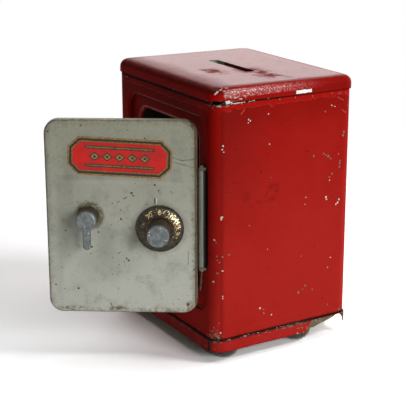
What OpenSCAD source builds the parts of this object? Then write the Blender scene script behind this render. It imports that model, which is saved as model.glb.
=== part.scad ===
// Toy safe coin bank of pressed tin, with a door on a pin hinge, a number dial and a lever handle.
// Origin: under the middle of the whole, door open as drawn, on the surface the feet stand on.
// +Z up, the front faces -Y. The case is drawn about its own middle and then set back by case_y.
// The door, dial and handle are drawn shut and then swung open by door_rest about the hinge pin.

/* [Case] */
// Width of the body, left to right
case_w = 90.2; // [80:0.1:100]
// Depth of the body, front to back
case_d = 74.8; // [70:0.1:85]
// Radius of the upright corners
corner_r = 6; // [5.5:0.1:6.2]
// Thickness of the case's tinplate
sheet_t = 0.6; // [0.5:0.05:0.65]
// Height of the body's top edge, under the lid's skirt
shoulder_z = 120.9; // [120.4:0.1:121]

/* [Lid] */
// Height of the lid's skirt with its rolled edge
lid_h = 5.8; // [5.6:0.1:6.4]
// Radius of the lid's rolled edge
lid_roll = 3.6; // [2.5:0.1:4]
// How far the lid is sprung up at the front, in degrees
lid_tilt = 1; // [0:0.1:1]
// Length of the coin slot
slot_l = 33.6; // [32:0.1:36]
// Clear width of the coin slot
slot_w = 5.2; // [4.8:0.1:5.6]

/* [Base tray and feet] */
// Height of the upturned tray's skirt
tray_h = 5.6; // [5:0.1:6]
// Width of the open slit at each corner of the skirt
tray_slit = 0.8; // [0.5:0.1:1.2]
// Height of a foot's dome
foot_h = 5.1; // [4.5:0.1:5.5]
// Radius of a foot
foot_r = 6.4; // [6:0.1:6.5]

/* [Door opening] */
// Depth of the pressed recess that the door shuts into
recess_depth = 2.1; // [1.9:0.1:2.2]
// Radius of the recess's corners
recess_r = 7.6; // [7.3:0.1:7.8]
// Radius of the rolled lip round the opening
lip_r = 1.8; // [1.6:0.1:1.8]

/* [Door] */
// Width of the door's face
door_w = 67; // [66.6:0.1:67.1]
// Height of the door's face
door_h = 89.3; // [88.5:0.1:89.4]
// Radius of the door's corners
door_r = 6.4; // [6.2:0.1:6.8]
// Depth of the door's folded rim
door_rim = 4.1; // [3.8:0.1:4.1]
// Thickness of the door's sheet
door_t = 0.7; // [0.6:0.05:0.8]
// Opening angle of the door as drawn, in degrees
door_rest = 56.5; // [0:0.5:110]

/* [Hinge] */
// Diameter of the hinge pin
pin_d = 2; // [1.8:0.1:2.1]
// Outer radius of the door's rolled knuckle
knuckle_r = 1.75; // [1.65:0.05:1.8]
// Length of the rolled knuckle
knuckle_l = 44.7; // [40:0.1:45]

/* [Dial and handle] */
// Radius of the numbered dial
dial_r = 10.7; // [10:0.1:11]
// Radius of the dial's knob at its foot
knob_r = 5.1; // [4.8:0.1:5.2]
// How far the knob stands out from the door
knob_reach = 12.2; // [10:0.1:13]
// Radius of the handle's hub at its foot
hub_r = 4.9; // [4.6:0.1:5]
// How far the handle's hub stands out from the door
hub_reach = 7.8; // [7:0.1:9]
// Length of the lever from its axis to its end
lever_l = 13.6; // [12:0.1:15]
// Turn of the handle as drawn, 0 with the lever down, in degrees
handle_rest = 0; // [0:1:90]

/* [Hidden] */
$fn = 48;

// Case levels and planes, measured from the middle of the case
case_y = 29.1;                              // how far the case stands back from the origin
front_y = -case_d / 2;
tray_z = foot_h + 0.3;                      // lower edge of the tray's skirt
tray_top = tray_z + tray_h;                 // the tray's plate, on which the body stands
tray_out = 0.7;                             // how far the skirt stands outside the body
tray_bend = 0.9;
seat_gap = 0.05;                            // room between the body's foot and the plate
body_z = tray_top + seat_gap;
body_bend = 1;                              // bend of the wall into its foot flange
body_foot = 3.4;                            // width of the foot flange, with its bend
neck_in = 0.5;                              // how far the neck under the lid is drawn in
neck_h = 2.3;
nick_h = 1.3;                               // bite out of the body's top edge at the near corner
nick_r = 4;
seam_w = 6;                                 // folded seam at the back
seam_t = 0.5;

// Lid
lid_lap = 1.3;                              // how far the skirt laps over the body at the back
lid_z = shoulder_z - lid_lap;
lid_out = sheet_t + 0.1;                    // how far the skirt's outside stands outside the body
lid_w = case_w + 2 * lid_out;
lid_d = case_d + 2 * lid_out;
lid_r = corner_r + lid_out;
slot_x = -1.6;                              // middle of the coin slot
slot_y = 0.3;
slot_r = 1.2;
slot_lip = 1.9;                             // depth of the slot's turned-down edge

// Feet and the tray's torn end
foot_x = 38.6;
foot_front_y = -27.6;
foot_rear_y = 12.5;
foot_flat = 0.08;                           // how much of a dome's tip is worn flat
cup_t = 0.6;
rivet_r = 1.45;
rivet_head_r = 2.6;
rivet_head_h = 0.7;
rivet_clear = 0.05;
slit_in = 4;                                // place of a slit, in from the body's side
break_y0 = 12.8;                            // the skirt's right side is torn off from here
break_rise = 3.1;                           // how far the tear slants back on its way up
break_y1 = 36.6;
break_x = 43.2;
stump_turn = 12;                            // how far the stump is bent in, in degrees

// Recess and opening in the front, seen from the front
recess_x0 = -33.4;
recess_x1 = 37;
recess_z0 = 21.9;
recess_z1 = 112.6;
recess_w = recess_x1 - recess_x0;
recess_h = recess_z1 - recess_z0;
edge_r = 1.2;                               // radius of the recess's outer edge
land_y = front_y + recess_depth;            // face of the land that the door shuts against
open_x0 = -26;
open_x1 = 27.3;
open_z0 = 28.3;
open_z1 = 106.1;
open_w = open_x1 - open_x0;
open_h = open_z1 - open_z0;
open_r = 6.2;

// Hinge
axis_x = 36.2;
axis_y = front_y - 1.2;
knuckle_z = 45;                             // lower end of the knuckle
pin_clear = 0.05;                           // running clearance round the pin, on the radius
pin_head_r = 1.4;
pin_head_h = 0.7;
ear_t = 1.2;
ear_gap = 0.2;
ear_x = 37.2;                               // where an ear passes through the notch
ear_w = 1.1;
ear_clear = 0.3;                            // room between an ear and the notch's end
leaf_x = 30.4;                              // free edge of the bracket's leaf
leaf_t = 0.8;
leaf_over = 3;                              // how far the leaf runs past the notch
ear_z0 = knuckle_z - ear_gap - ear_t;       // underside of the lower ear
ear_z1 = knuckle_z + knuckle_l + ear_gap;   // underside of the upper ear
notch_x0 = recess_x1 - 0.5;
notch_x1 = 39.5;                            // outer edge of the notch that clears the knuckle
notch_slant_x = 38.4;
notch_slant_z = 3.8;
notch_z0 = ear_z0 - ear_clear;
notch_z1 = ear_z1 + ear_t + ear_clear;

// Door, measured from the hinge axis with the door shut
face_y = -1.25;                             // outer face of the door
face_x = -2;                                // hinge edge of the face
door_z0 = 22.7;
door_edge_r = 1.3;
mark_x = -1.6;                              // index mark, measured from the dial's axis
mark_z = 12.8;
mark_w = 0.7;
mark_h = 2.4;
dial_x = face_x - 16.6;
dial_z = 63;
handle_x = face_x - 48.5;
handle_z = 68;

// Shanks and the stacks on them, measured from the door's face, inwards
shank_r = 1.8;
shank_clear = 0.08;
stack_clear = 0.1;                          // room round a shank in a washer, sleeve or disc
latch_in = 6.85;                            // outer side of the latch and the disc, behind the face
latch_t = 1;
washer_t = 0.6;
washer_r = 3.6;
sleeve_r = 3.2;
sleeve_in = 1.75;                           // where a sleeve starts, under its spring washer
spring_r = 4.2;
disc_r = 7.4;
gate_w = 3.2;
gate_d = 4.2;
bolt_l = 15.2;
bolt_w = 6;
tail_w = 3.6;
tail_tip_r = 1.4;
stack_in = -latch_in;

// Dial and handle, heights measured out of the door's face
plate_gap = 0.12;                           // room between the door and what turns on it
plate_lip = 0.55;
plate_top = 2.2;
plate_bore = 2.6;
plate_sheet = 0.65;
knob_edge = 0.5;
knob_draft = 0.2;
hub_foot = 1;
hub_edge = 0.9;
hub_draft = 0.4;
ring_r = 5.2;
lever_r = 1.8;
lever_z = 5.4;
lever_z0 = 3.9;
lever_z1 = 6.9;

function arc(cx, cy, r, a0, a1, n = 12) =
    [for (i = [0 : n]) [cx + r * cos(a0 + (a1 - a0) * i / n), cy + r * sin(a0 + (a1 - a0) * i / n)]];

// A rectangle with round corners, centred
module round_rect(w, d, r) {
    square([w - 2 * r, d], center = true);
    square([w, d - 2 * r], center = true);
    for (sx = [-1, 1], sy = [-1, 1])
        translate([sx * (w / 2 - r), sy * (d / 2 - r)])
            circle(r);
}

// Carries a profile round a rectangle with round corners: x is outwards from the path, y is up
module ring_sweep(w, d, r) {
    for (side = [0 : 3]) {
        half = side % 2 == 0 ? w / 2 : d / 2;
        run = (side % 2 == 0 ? d : w) - 2 * r;
        rotate([0, 0, 90 * side]) {
            translate([half, run / 2, 0])
                rotate([90, 0, 0])
                    linear_extrude(run)
                        children();
            translate([half - r, run / 2, 0])
                rotate_extrude(angle = 90)
                    translate([r, 0])
                        children();
        }
    }
}

// Turns a flat drawing to face the front: its x stays, its y becomes z, its height points to -Y
module on_front(x, y, z) {
    translate([x, y, z])
        rotate([90, 0, 0])
            children();
}

// Turns a flat drawing to face the right side: its x becomes y, its y becomes z, its height points to +X
module on_side(x) {
    translate([x, 0, 0])
        rotate([90, 0, 90])
            children();
}

// Section of sheet bent a quarter turn over a convex edge, from flat at the top to upright at x = 0
module bend_section(r, t) {
    intersection() {
        translate([r, -r])
            difference() {
                circle(r);
                circle(r - t);
            }
        translate([0, -r])
            square([r, r]);
    }
}

// Body

module body_wall(z0, z1, inset) {
    translate([0, 0, z0])
        linear_extrude(z1 - z0)
            difference() {
                round_rect(case_w - 2 * inset, case_d - 2 * inset, corner_r - inset);
                round_rect(case_w - 2 * inset - 2 * sheet_t, case_d - 2 * inset - 2 * sheet_t,
                           corner_r - inset - sheet_t);
            }
}

// Foot of the wall, bent in to stand on the tray's plate
module wall_foot() {
    translate([0, 0, body_z])
        ring_sweep(case_w, case_d, corner_r)
            mirror([1, 0])
                union() {
                    mirror([0, 1])
                        bend_section(body_bend, sheet_t);
                    translate([body_bend, 0])
                        square([body_foot - body_bend, sheet_t]);
                }
}

module body_shoulder() {
    translate([0, 0, shoulder_z - sheet_t])
        linear_extrude(sheet_t)
            difference() {
                round_rect(case_w, case_d, corner_r);
                round_rect(case_w - 2 * neck_in - 2 * sheet_t, case_d - 2 * neck_in - 2 * sheet_t,
                           corner_r - neck_in - sheet_t);
            }
}

module recess_cut() {
    on_front((recess_x0 + recess_x1) / 2, front_y + sheet_t + 0.5, (recess_z0 + recess_z1) / 2)
        linear_extrude(sheet_t + 1)
            round_rect(recess_w + 2 * edge_r, recess_h + 2 * edge_r, recess_r + edge_r);
}

module recess_wall() {
    on_front((recess_x0 + recess_x1) / 2, front_y, (recess_z0 + recess_z1) / 2)
        ring_sweep(recess_w, recess_h, recess_r) {
            union() {
                bend_section(edge_r, sheet_t);
                translate([0, -recess_depth - sheet_t])
                    square([sheet_t, recess_depth + sheet_t - edge_r]);
            }
        }
}

module recess_land() {
    difference() {
        on_front((recess_x0 + recess_x1) / 2, land_y + sheet_t, (recess_z0 + recess_z1) / 2)
            linear_extrude(sheet_t)
                round_rect(recess_w, recess_h, recess_r);
        on_front((open_x0 + open_x1) / 2, land_y + sheet_t + 0.5, (open_z0 + open_z1) / 2)
            linear_extrude(sheet_t + 1)
                round_rect(open_w + 2 * lip_r, open_h + 2 * lip_r, open_r + lip_r);
    }
}

module opening_lip() {
    on_front((open_x0 + open_x1) / 2, land_y, (open_z0 + open_z1) / 2)
        ring_sweep(open_w, open_h, open_r)
            bend_section(lip_r, sheet_t);
}

// Long notch beside the recess, with slanted ends, that clears the knuckle and the bracket's ears
module hinge_notch() {
    on_front(0, land_y + sheet_t + 0.1, 0)
        linear_extrude(recess_depth + sheet_t + 0.5)
            polygon([[notch_x0, notch_z0], [notch_slant_x, notch_z0], [notch_x1, notch_z0 + notch_slant_z],
                     [notch_x1, notch_z1 - notch_slant_z], [notch_slant_x, notch_z1], [notch_x0, notch_z1]]);
}

// Folded seam where the two ends of the sheet meet at the back
module back_seam() {
    translate([-seam_w / 2, case_d / 2 - 0.02, tray_top + 1])
        cube([seam_w, seam_t + 0.02, lid_z - 2 - tray_top]);
}

// Shallow bite out of the body's top edge at the near corner
module corner_nick() {
    mid = corner_r * (1 - sqrt(0.5));
    intersection() {
        translate([case_w / 2 - mid, -case_d / 2 + mid, shoulder_z - nick_h + nick_r])
            rotate([90, 0, 45])
                cylinder(h = 5, r = nick_r, center = true);
        translate([0, -case_d, 0])
            cube([case_w, case_d, shoulder_z + 0.4]);
    }
}

module body_shell() {
    color([0.62, 0.10, 0.09])
        difference() {
            union() {
                difference() {
                    union() {
                        wall_foot();
                        body_wall(body_z + body_bend, shoulder_z, 0);
                        body_wall(shoulder_z - sheet_t, shoulder_z + neck_h, neck_in);
                        body_shoulder();
                    }
                    recess_cut();
                }
                recess_wall();
                recess_land();
                opening_lip();
                back_seam();
            }
            hinge_notch();
            corner_nick();
        }
}

// Lid

module lid_pan() {
    ring_sweep(lid_w, lid_d, lid_r)
        mirror([1, 0])
            union() {
                translate([0, lid_h])
                    bend_section(lid_roll, sheet_t);
                square([sheet_t, lid_h - lid_roll]);
            }
    translate([0, 0, lid_h - sheet_t])
        linear_extrude(sheet_t)
            round_rect(lid_w - 2 * lid_roll, lid_d - 2 * lid_roll, lid_r - lid_roll);
}

module slot_outline(grow) {
    round_rect(slot_l + 2 * grow, slot_w + 2 * grow, slot_r + grow);
}

module lid() {
    color([0.70, 0.16, 0.14])
        translate([0, lid_d / 2, lid_z])
            rotate([-lid_tilt, 0, 0])
                translate([0, -lid_d / 2, 0])
                    difference() {
                        union() {
                            lid_pan();
                            translate([slot_x, slot_y, lid_h - slot_lip])
                                linear_extrude(slot_lip - 0.1)
                                    slot_outline(sheet_t);
                        }
                        translate([slot_x, slot_y, 0])
                            linear_extrude(lid_h + 1)
                                slot_outline(0);
                    }
}

// Base tray and feet

// Shallow pan with its plate on top and its skirt hanging down
module tray_pan() {
    w = case_w + 2 * tray_out;
    d = case_d + 2 * tray_out;
    r = corner_r + tray_out;
    translate([0, 0, tray_top]) {
        ring_sweep(w, d, r)
            mirror([1, 0])
                union() {
                    bend_section(tray_bend, sheet_t);
                    translate([0, -tray_h])
                        square([sheet_t, tray_h - tray_bend]);
                }
        translate([0, 0, -sheet_t])
            linear_extrude(sheet_t)
                round_rect(w - 2 * tray_bend, d - 2 * tray_bend, r - tray_bend);
    }
}

// Open slits where the corners of the folded sheet meet
module tray_slits() {
    for (sx = [-1, 1], sy = [-1, 1])
        translate([sx * (case_w / 2 - slit_in), sy * (case_d / 2 + tray_out), tray_z + tray_h / 2])
            cube([tray_slit, 2 * tray_bend, tray_h + 1], center = true);
}

// The rear end of the right side, where the skirt is torn off as far as its bend, and round the corner
module torn_end() {
    stump_z = tray_top - tray_bend + 0.2;
    bend_z = tray_top - 0.25;
    on_side(break_x)
        linear_extrude(case_w / 2 + tray_out + 1 - break_x)
            polygon([[break_y0, tray_z - 1], [break_y0, tray_z], [break_y0 + break_rise, stump_z],
                     [break_y1, stump_z], [break_y1, tray_z - 1]]);
    on_side(case_w / 2 + tray_out - tray_bend)
        linear_extrude(tray_bend + 1)
            polygon([[28.6, stump_z - 0.1], [30.4, bend_z], [break_y1, bend_z], [break_y1, stump_z - 0.1]]);
    on_front(0, case_d / 2 + tray_out + 0.5, 0)
        linear_extrude(2)
            polygon([[33.5, tray_z - 1], [33.5, tray_z], [35.7, 5.8], [38.4, 7.5], [39.6, 7.1], [42.6, 6],
                     [43.4, tray_z - 1]]);
}

// What is left of the torn side, bent in under the plate
module tray_stump() {
    top_z = tray_top - tray_bend;
    translate([case_w / 2 + tray_out - sheet_t, 0, top_z])
        rotate([0, stump_turn, 0])
            on_side(0)
                linear_extrude(sheet_t)
                    polygon([[break_y0 + 2.6, 0.35], [break_y0 + 0.8, -3.4], [17.4, -3.4], [20.9, -2.4],
                             [24.4, -1.4], [27.9, -0.3], [29.2, 0.35]]);
}

module foot_places() {
    for (sx = [-1, 1], y = [foot_front_y, foot_rear_y])
        translate([sx * foot_x, y, 0])
            children();
}

module base_tray() {
    color([0.60, 0.09, 0.08])
        difference() {
            union() {
                difference() {
                    tray_pan();
                    torn_end();
                }
                tray_stump();
            }
            tray_slits();
            foot_places()
                cylinder(h = 2 * tray_top, r = rivet_r + rivet_clear);
        }
}

// Domed cup that hangs from the plate, with a shank riveted over on top of it
module foot(sx, y) {
    cap_r = (foot_r * foot_r + foot_h * foot_h) / (2 * foot_h);
    cap_z = cap_r - foot_flat;
    cup_top = tray_top - sheet_t - 0.02;
    color([0.52, 0.47, 0.42])
        translate([sx * foot_x, y, 0]) {
            difference() {
                union() {
                    intersection() {
                        translate([0, 0, cap_z])
                            sphere(cap_r, $fn = 64);
                        cylinder(h = foot_h, r = foot_r);
                    }
                    translate([0, 0, foot_h])
                        cylinder(h = cup_top - foot_h, r = foot_r);
                }
                intersection() {
                    translate([0, 0, cap_z])
                        sphere(cap_r - cup_t, $fn = 64);
                    cylinder(h = foot_h + 0.01, r = foot_r);
                }
                translate([0, 0, foot_h])
                    cylinder(h = cup_top, r = foot_r - cup_t);
            }
            translate([0, 0, cup_t / 2])
                cylinder(h = tray_top - cup_t / 2, r = rivet_r);
            translate([0, 0, tray_top])
                cylinder(h = rivet_head_h, r1 = rivet_head_r, r2 = rivet_r + 0.15);
        }
}

module foot_front_right() { foot(1, foot_front_y); }
module foot_front_left() { foot(-1, foot_front_y); }
module foot_rear_right() { foot(1, foot_rear_y); }
module foot_rear_left() { foot(-1, foot_rear_y); }

// Hinge on the case

module ear(z) {
    difference() {
        translate([0, 0, z])
            linear_extrude(ear_t)
                union() {
                    hull() {
                        translate([axis_x, axis_y])
                            circle(knuckle_r, $fn = 32);
                        translate([ear_x, land_y - 0.9])
                            square([ear_w, 1]);
                    }
                    translate([ear_x, land_y - 0.9])
                        square([ear_w, 0.9 + sheet_t + leaf_t]);
                }
        translate([axis_x, axis_y, z - 1])
            cylinder(h = ear_t + 2, r = pin_d / 2 + 0.02);
    }
}

module hinge_bracket() {
    color([0.55, 0.55, 0.54]) {
        translate([leaf_x, land_y + sheet_t, notch_z0 - leaf_over])
            cube([ear_x + ear_w - leaf_x, leaf_t, notch_z1 - notch_z0 + 2 * leaf_over]);
        ear(ear_z0);
        ear(ear_z1);
    }
}

module hinge_pin() {
    pin_z0 = ear_z0 - pin_head_h;
    pin_z1 = ear_z1 + ear_t;
    color([0.45, 0.42, 0.38])
        translate([axis_x, axis_y, 0]) {
            translate([0, 0, pin_z0])
                cylinder(h = pin_z1 - pin_z0 + pin_head_h, r = pin_d / 2);
            translate([0, 0, pin_z0])
                cylinder(h = pin_head_h, r1 = 0.9, r2 = pin_head_r);
            translate([0, 0, pin_z1])
                cylinder(h = pin_head_h, r1 = pin_head_r, r2 = 0.9);
        }
}

// Door: everything on it is drawn from the hinge axis, shut, and swung open here

module on_door() {
    translate([axis_x, axis_y, 0])
        rotate([0, 0, door_rest])
            children();
}

module door_pan() {
    on_front(face_x - door_w / 2, face_y, door_z0 + door_h / 2) {
        ring_sweep(door_w, door_h, door_r)
            mirror([1, 0])
                union() {
                    bend_section(door_edge_r, door_t);
                    translate([0, -door_rim])
                        square([door_t, door_rim - door_edge_r]);
                }
        translate([0, 0, -door_t])
            linear_extrude(door_t)
                round_rect(door_w - 2 * door_edge_r, door_h - 2 * door_edge_r, door_r - door_edge_r);
    }
}

module knuckle() {
    translate([0, 0, knuckle_z])
        cylinder(h = knuckle_l, r = knuckle_r);
    // tongue of the rim that is rolled into the knuckle
    translate([face_x - door_t, knuckle_r - door_t, knuckle_z])
        cube([-face_x + door_t, door_t, knuckle_l]);
    translate([face_x - door_t, 0, knuckle_z])
        cube([door_t, knuckle_r, knuckle_l]);
}

// Raised line over the dial that the numbers are set to
module index_mark() {
    on_front(dial_x + mark_x, face_y + 0.1, dial_z + mark_z)
        linear_extrude(0.35)
            round_rect(mark_w, mark_h, mark_w / 2 - 0.01);
}

module door_panel() {
    color([0.66, 0.67, 0.63])
        on_door()
            difference() {
                union() {
                    door_pan();
                    knuckle();
                    index_mark();
                }
                translate([0, 0, knuckle_z - 1])
                    cylinder(h = knuckle_l + 2, r = pin_d / 2 + pin_clear);
                for (p = [[dial_x, dial_z], [handle_x, handle_z]])
                    on_front(p[0], 5, p[1])
                        cylinder(h = 10, r = shank_r + shank_clear);
            }
}

// Puts a piece that turns on an axis square to the door: its height is measured out of the door's face
module on_axis(x, z, turn = 0) {
    on_door()
        on_front(x, face_y, z)
            rotate([0, 0, turn])
                children();
}

// A turned ring given by its inner and outer radius and two heights
module ring(r0, r1, z0, z1) {
    translate([0, 0, z0])
        difference() {
            cylinder(h = z1 - z0, r = r1);
            translate([0, 0, -1])
                cylinder(h = z1 - z0 + 2, r = r0);
        }
}

// Cast shank with its end riveted over behind the stack
module shank(top) {
    stack_end = stack_in - latch_t - washer_t;
    translate([0, 0, stack_end - 0.4])
        cylinder(h = top - stack_end + 0.4, r = shank_r);
    translate([0, 0, stack_end - 0.9])
        cylinder(h = 0.9, r1 = 1.6, r2 = rivet_head_r);
}

// Dial

// Spun brass ring: a flat lip and a convex band that carries the numbers
module dial_plate() {
    band = concat([[dial_r - 0.8, plate_lip]], arc(5.6, -3.2, 5.4, 50, 92, 10), [[4, plate_top]]);
    inner_z = plate_top - plate_sheet;
    color([0.42, 0.34, 0.20])
        on_axis(dial_x, dial_z)
            rotate_extrude($fn = 96)
                difference() {
                    polygon(concat([[plate_bore, plate_gap], [dial_r, plate_gap], [dial_r, plate_lip]], band,
                                   [[plate_bore, plate_top]]));
                    polygon([[plate_bore, -1], [dial_r - 1.3, -1], [dial_r - 1.8, 1], [6, inner_z],
                             [plate_bore, inner_z]]);
                }
}

module dial_knob() {
    color([0.55, 0.57, 0.58])
        on_axis(dial_x, dial_z) {
            shank(plate_top + 0.8);
            rotate_extrude($fn = 96)
                polygon(concat([[0, plate_top], [knob_r, plate_top]],
                               arc(knob_r - knob_draft - knob_edge, knob_reach - knob_edge, knob_edge, 0, 90, 6),
                               [[0, knob_reach]]));
        }
}

// Cupped spring washer that keeps the shank from rattling
module cup_washer(x, z) {
    bore = shank_r + 0.2;
    color([0.40, 0.39, 0.37])
        on_axis(x, z)
            rotate_extrude()
                polygon([[bore, -sleeve_in], [spring_r, -1.2], [spring_r, -0.8], [spring_r - 0.2, -0.8],
                         [bore, 0.4 - sleeve_in]]);
}

module sleeve(x, z) {
    color([0.58, 0.57, 0.55])
        on_axis(x, z)
            ring(shank_r + stack_clear, sleeve_r, stack_in, -sleeve_in);
}

module retainer(x, z) {
    color([0.58, 0.57, 0.55])
        on_axis(x, z)
            ring(shank_r + stack_clear, washer_r, stack_in - latch_t - washer_t, stack_in - latch_t);
}

module dial_spring_washer() { cup_washer(dial_x, dial_z); }
module dial_sleeve() { sleeve(dial_x, dial_z); }
module dial_retainer() { retainer(dial_x, dial_z); }

// Disc with the gate that the latch's tail would drop into
module combination_disc() {
    color([0.60, 0.56, 0.42])
        on_axis(dial_x, dial_z)
            difference() {
                ring(shank_r + stack_clear, disc_r, stack_in - latch_t, stack_in);
                translate([-disc_r - 1, -gate_w / 2, stack_in - latch_t - 1])
                    cube([gate_d, gate_w, latch_t + 2]);
            }
}

// Handle

module handle_escutcheon() {
    color([0.50, 0.50, 0.49])
        on_axis(handle_x, handle_z, -handle_rest)
            ring(shank_r + stack_clear, ring_r, plate_gap, hub_foot);
}

// Cast hub, lever and shank in one piece
module handle_lever() {
    color([0.55, 0.57, 0.58])
        on_axis(handle_x, handle_z, -handle_rest) {
            shank(hub_foot + 2);
            rotate_extrude($fn = 96)
                polygon(concat([[0, hub_foot], [hub_r, hub_foot]],
                               arc(hub_r - hub_draft - hub_edge, hub_reach - hub_edge, hub_edge, 0, 90, 8),
                               [[0, hub_reach]]));
            intersection() {
                translate([0, 0, lever_z]) {
                    rotate([90, 0, 0])
                        cylinder(h = lever_l - lever_r, r = lever_r);
                    translate([0, -lever_l + lever_r, 0])
                        sphere(lever_r);
                }
                translate([-3, -lever_l - 1, lever_z0])
                    cube([6, lever_l + 2, lever_z1 - lever_z0]);
            }
        }
}

module handle_spring_washer() { cup_washer(handle_x, handle_z); }
module handle_sleeve() { sleeve(handle_x, handle_z); }
module handle_retainer() { retainer(handle_x, handle_z); }

// Two-armed latch: the short arm bolts behind the jamb, the long tail points at the disc
module latch_lever() {
    tail_l = norm([dial_x - handle_x, dial_z - handle_z]) - disc_r - 0.6;
    color([0.62, 0.60, 0.55])
        on_axis(handle_x, handle_z, -handle_rest)
            translate([0, 0, stack_in - latch_t])
                difference() {
                    linear_extrude(latch_t)
                        union() {
                            circle(5);
                            translate([-bolt_w / 2, -bolt_l + bolt_w / 2])
                                square([bolt_w, bolt_l - bolt_w / 2]);
                            translate([0, -bolt_l + bolt_w / 2])
                                circle(bolt_w / 2);
                            translate([-tail_w / 2, 0])
                                square([tail_w, tail_l - tail_tip_r]);
                            translate([0, tail_l - tail_tip_r])
                                circle(tail_tip_r);
                        }
                    translate([0, 0, -1])
                        cylinder(h = latch_t + 2, r = shank_r + stack_clear);
                }
}

// Sets the case back, so that the origin is under the middle of the whole with its door open
module placed() {
    translate([0, case_y, 0])
        children();
}

placed() body_shell();
placed() lid();
placed() base_tray();
placed() foot_front_right();
placed() foot_front_left();
placed() foot_rear_right();
placed() foot_rear_left();
placed() hinge_bracket();
placed() hinge_pin();
placed() door_panel();
placed() dial_plate();
placed() dial_knob();
placed() dial_spring_washer();
placed() dial_sleeve();
placed() combination_disc();
placed() dial_retainer();
placed() handle_escutcheon();
placed() handle_lever();
placed() handle_spring_washer();
placed() handle_sleeve();
placed() latch_lever();
placed() handle_retainer();
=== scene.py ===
"""Looks of a pressed-tin toy safe: red enamel case, grey door, number dial and small lever handle."""

import logging
import math
from collections.abc import Callable, Iterable, Sequence
from dataclasses import dataclass
from enum import Enum
from typing import Any, Protocol

import bmesh
import bpy
from mathutils import Matrix, Vector


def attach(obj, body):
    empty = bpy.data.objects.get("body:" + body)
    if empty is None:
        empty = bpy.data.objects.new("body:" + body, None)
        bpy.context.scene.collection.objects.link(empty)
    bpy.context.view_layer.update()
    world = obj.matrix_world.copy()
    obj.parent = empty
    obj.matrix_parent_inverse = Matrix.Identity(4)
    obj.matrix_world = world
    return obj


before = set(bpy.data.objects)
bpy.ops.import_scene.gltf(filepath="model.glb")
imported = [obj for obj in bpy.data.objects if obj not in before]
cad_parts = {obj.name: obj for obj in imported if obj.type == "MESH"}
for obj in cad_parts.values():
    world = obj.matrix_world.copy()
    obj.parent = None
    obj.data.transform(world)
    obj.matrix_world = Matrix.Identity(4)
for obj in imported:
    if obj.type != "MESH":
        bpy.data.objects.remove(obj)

log = logging.getLogger("safe")
MM = 0.001
Colour = tuple[float, float, float]
Point = tuple[float, float, float]
Spot = tuple[float, float, float, float]
Line = tuple[Point, Point, float]
FlatLine = tuple[float, float, float, float, float]


def srgb(*channels: int) -> Colour:
    """Turns red, green and blue of 0 to 255 into the linear values that shaders take."""
    shares = (channel / 255 for channel in channels)
    return tuple(s / 12.92 if s <= 0.04045 else ((s + 0.055) / 1.055) ** 2.4 for s in shares)


def operator(operation: str, flipped: bool = False) -> Callable[["Wave", Any], "Wave"]:
    """Makes the method of a wave that adds one kind of Math node.

    Args:
        operation: The node's operation.
        flipped: Whether the wave is the second of its two numbers.

    Returns:
        The method.
    """

    def method(wave: "Wave", other: Any) -> "Wave":
        """Adds the node on the wave and the other number."""
        return wave.shader.maths(operation, *((other, wave) if flipped else (wave, other)))

    return method


class Wave:
    """A number or vector that flows through a shader and takes part in Python expressions.

    up_to gives the smaller and at_least the larger of the wave and another number.
    """

    __add__, __radd__ = operator("ADD"), operator("ADD", flipped=True)
    __sub__, __rsub__ = operator("SUBTRACT"), operator("SUBTRACT", flipped=True)
    __mul__, __rmul__ = operator("MULTIPLY"), operator("MULTIPLY", flipped=True)
    up_to, at_least = operator("MINIMUM"), operator("MAXIMUM")

    def __init__(self, shader: "Shader", socket: bpy.types.NodeSocket) -> None:
        """Keeps the socket and the shader that it belongs to."""
        self.shader = shader
        self.socket = socket

    def __abs__(self) -> "Wave":
        """Size of self without its sign."""
        return self.shader.maths("ABSOLUTE", self)

    def ramp(self, start: float, end: float) -> "Wave":
        """Eases from 0 where self is at start to 1 where it is at end, which may lie below start."""
        inputs = {"Value": self, "From Min": start, "From Max": end}
        return self.shader.node("ShaderNodeMapRange", {"interpolation_type": "SMOOTHSTEP"}, inputs)

    def between(self, low: float, high: float, soft: float) -> "Wave":
        """1 where self lies between low and high, easing to 0 over soft outside them."""
        return self.ramp(low - soft, low) * self.ramp(high + soft, high)


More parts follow.
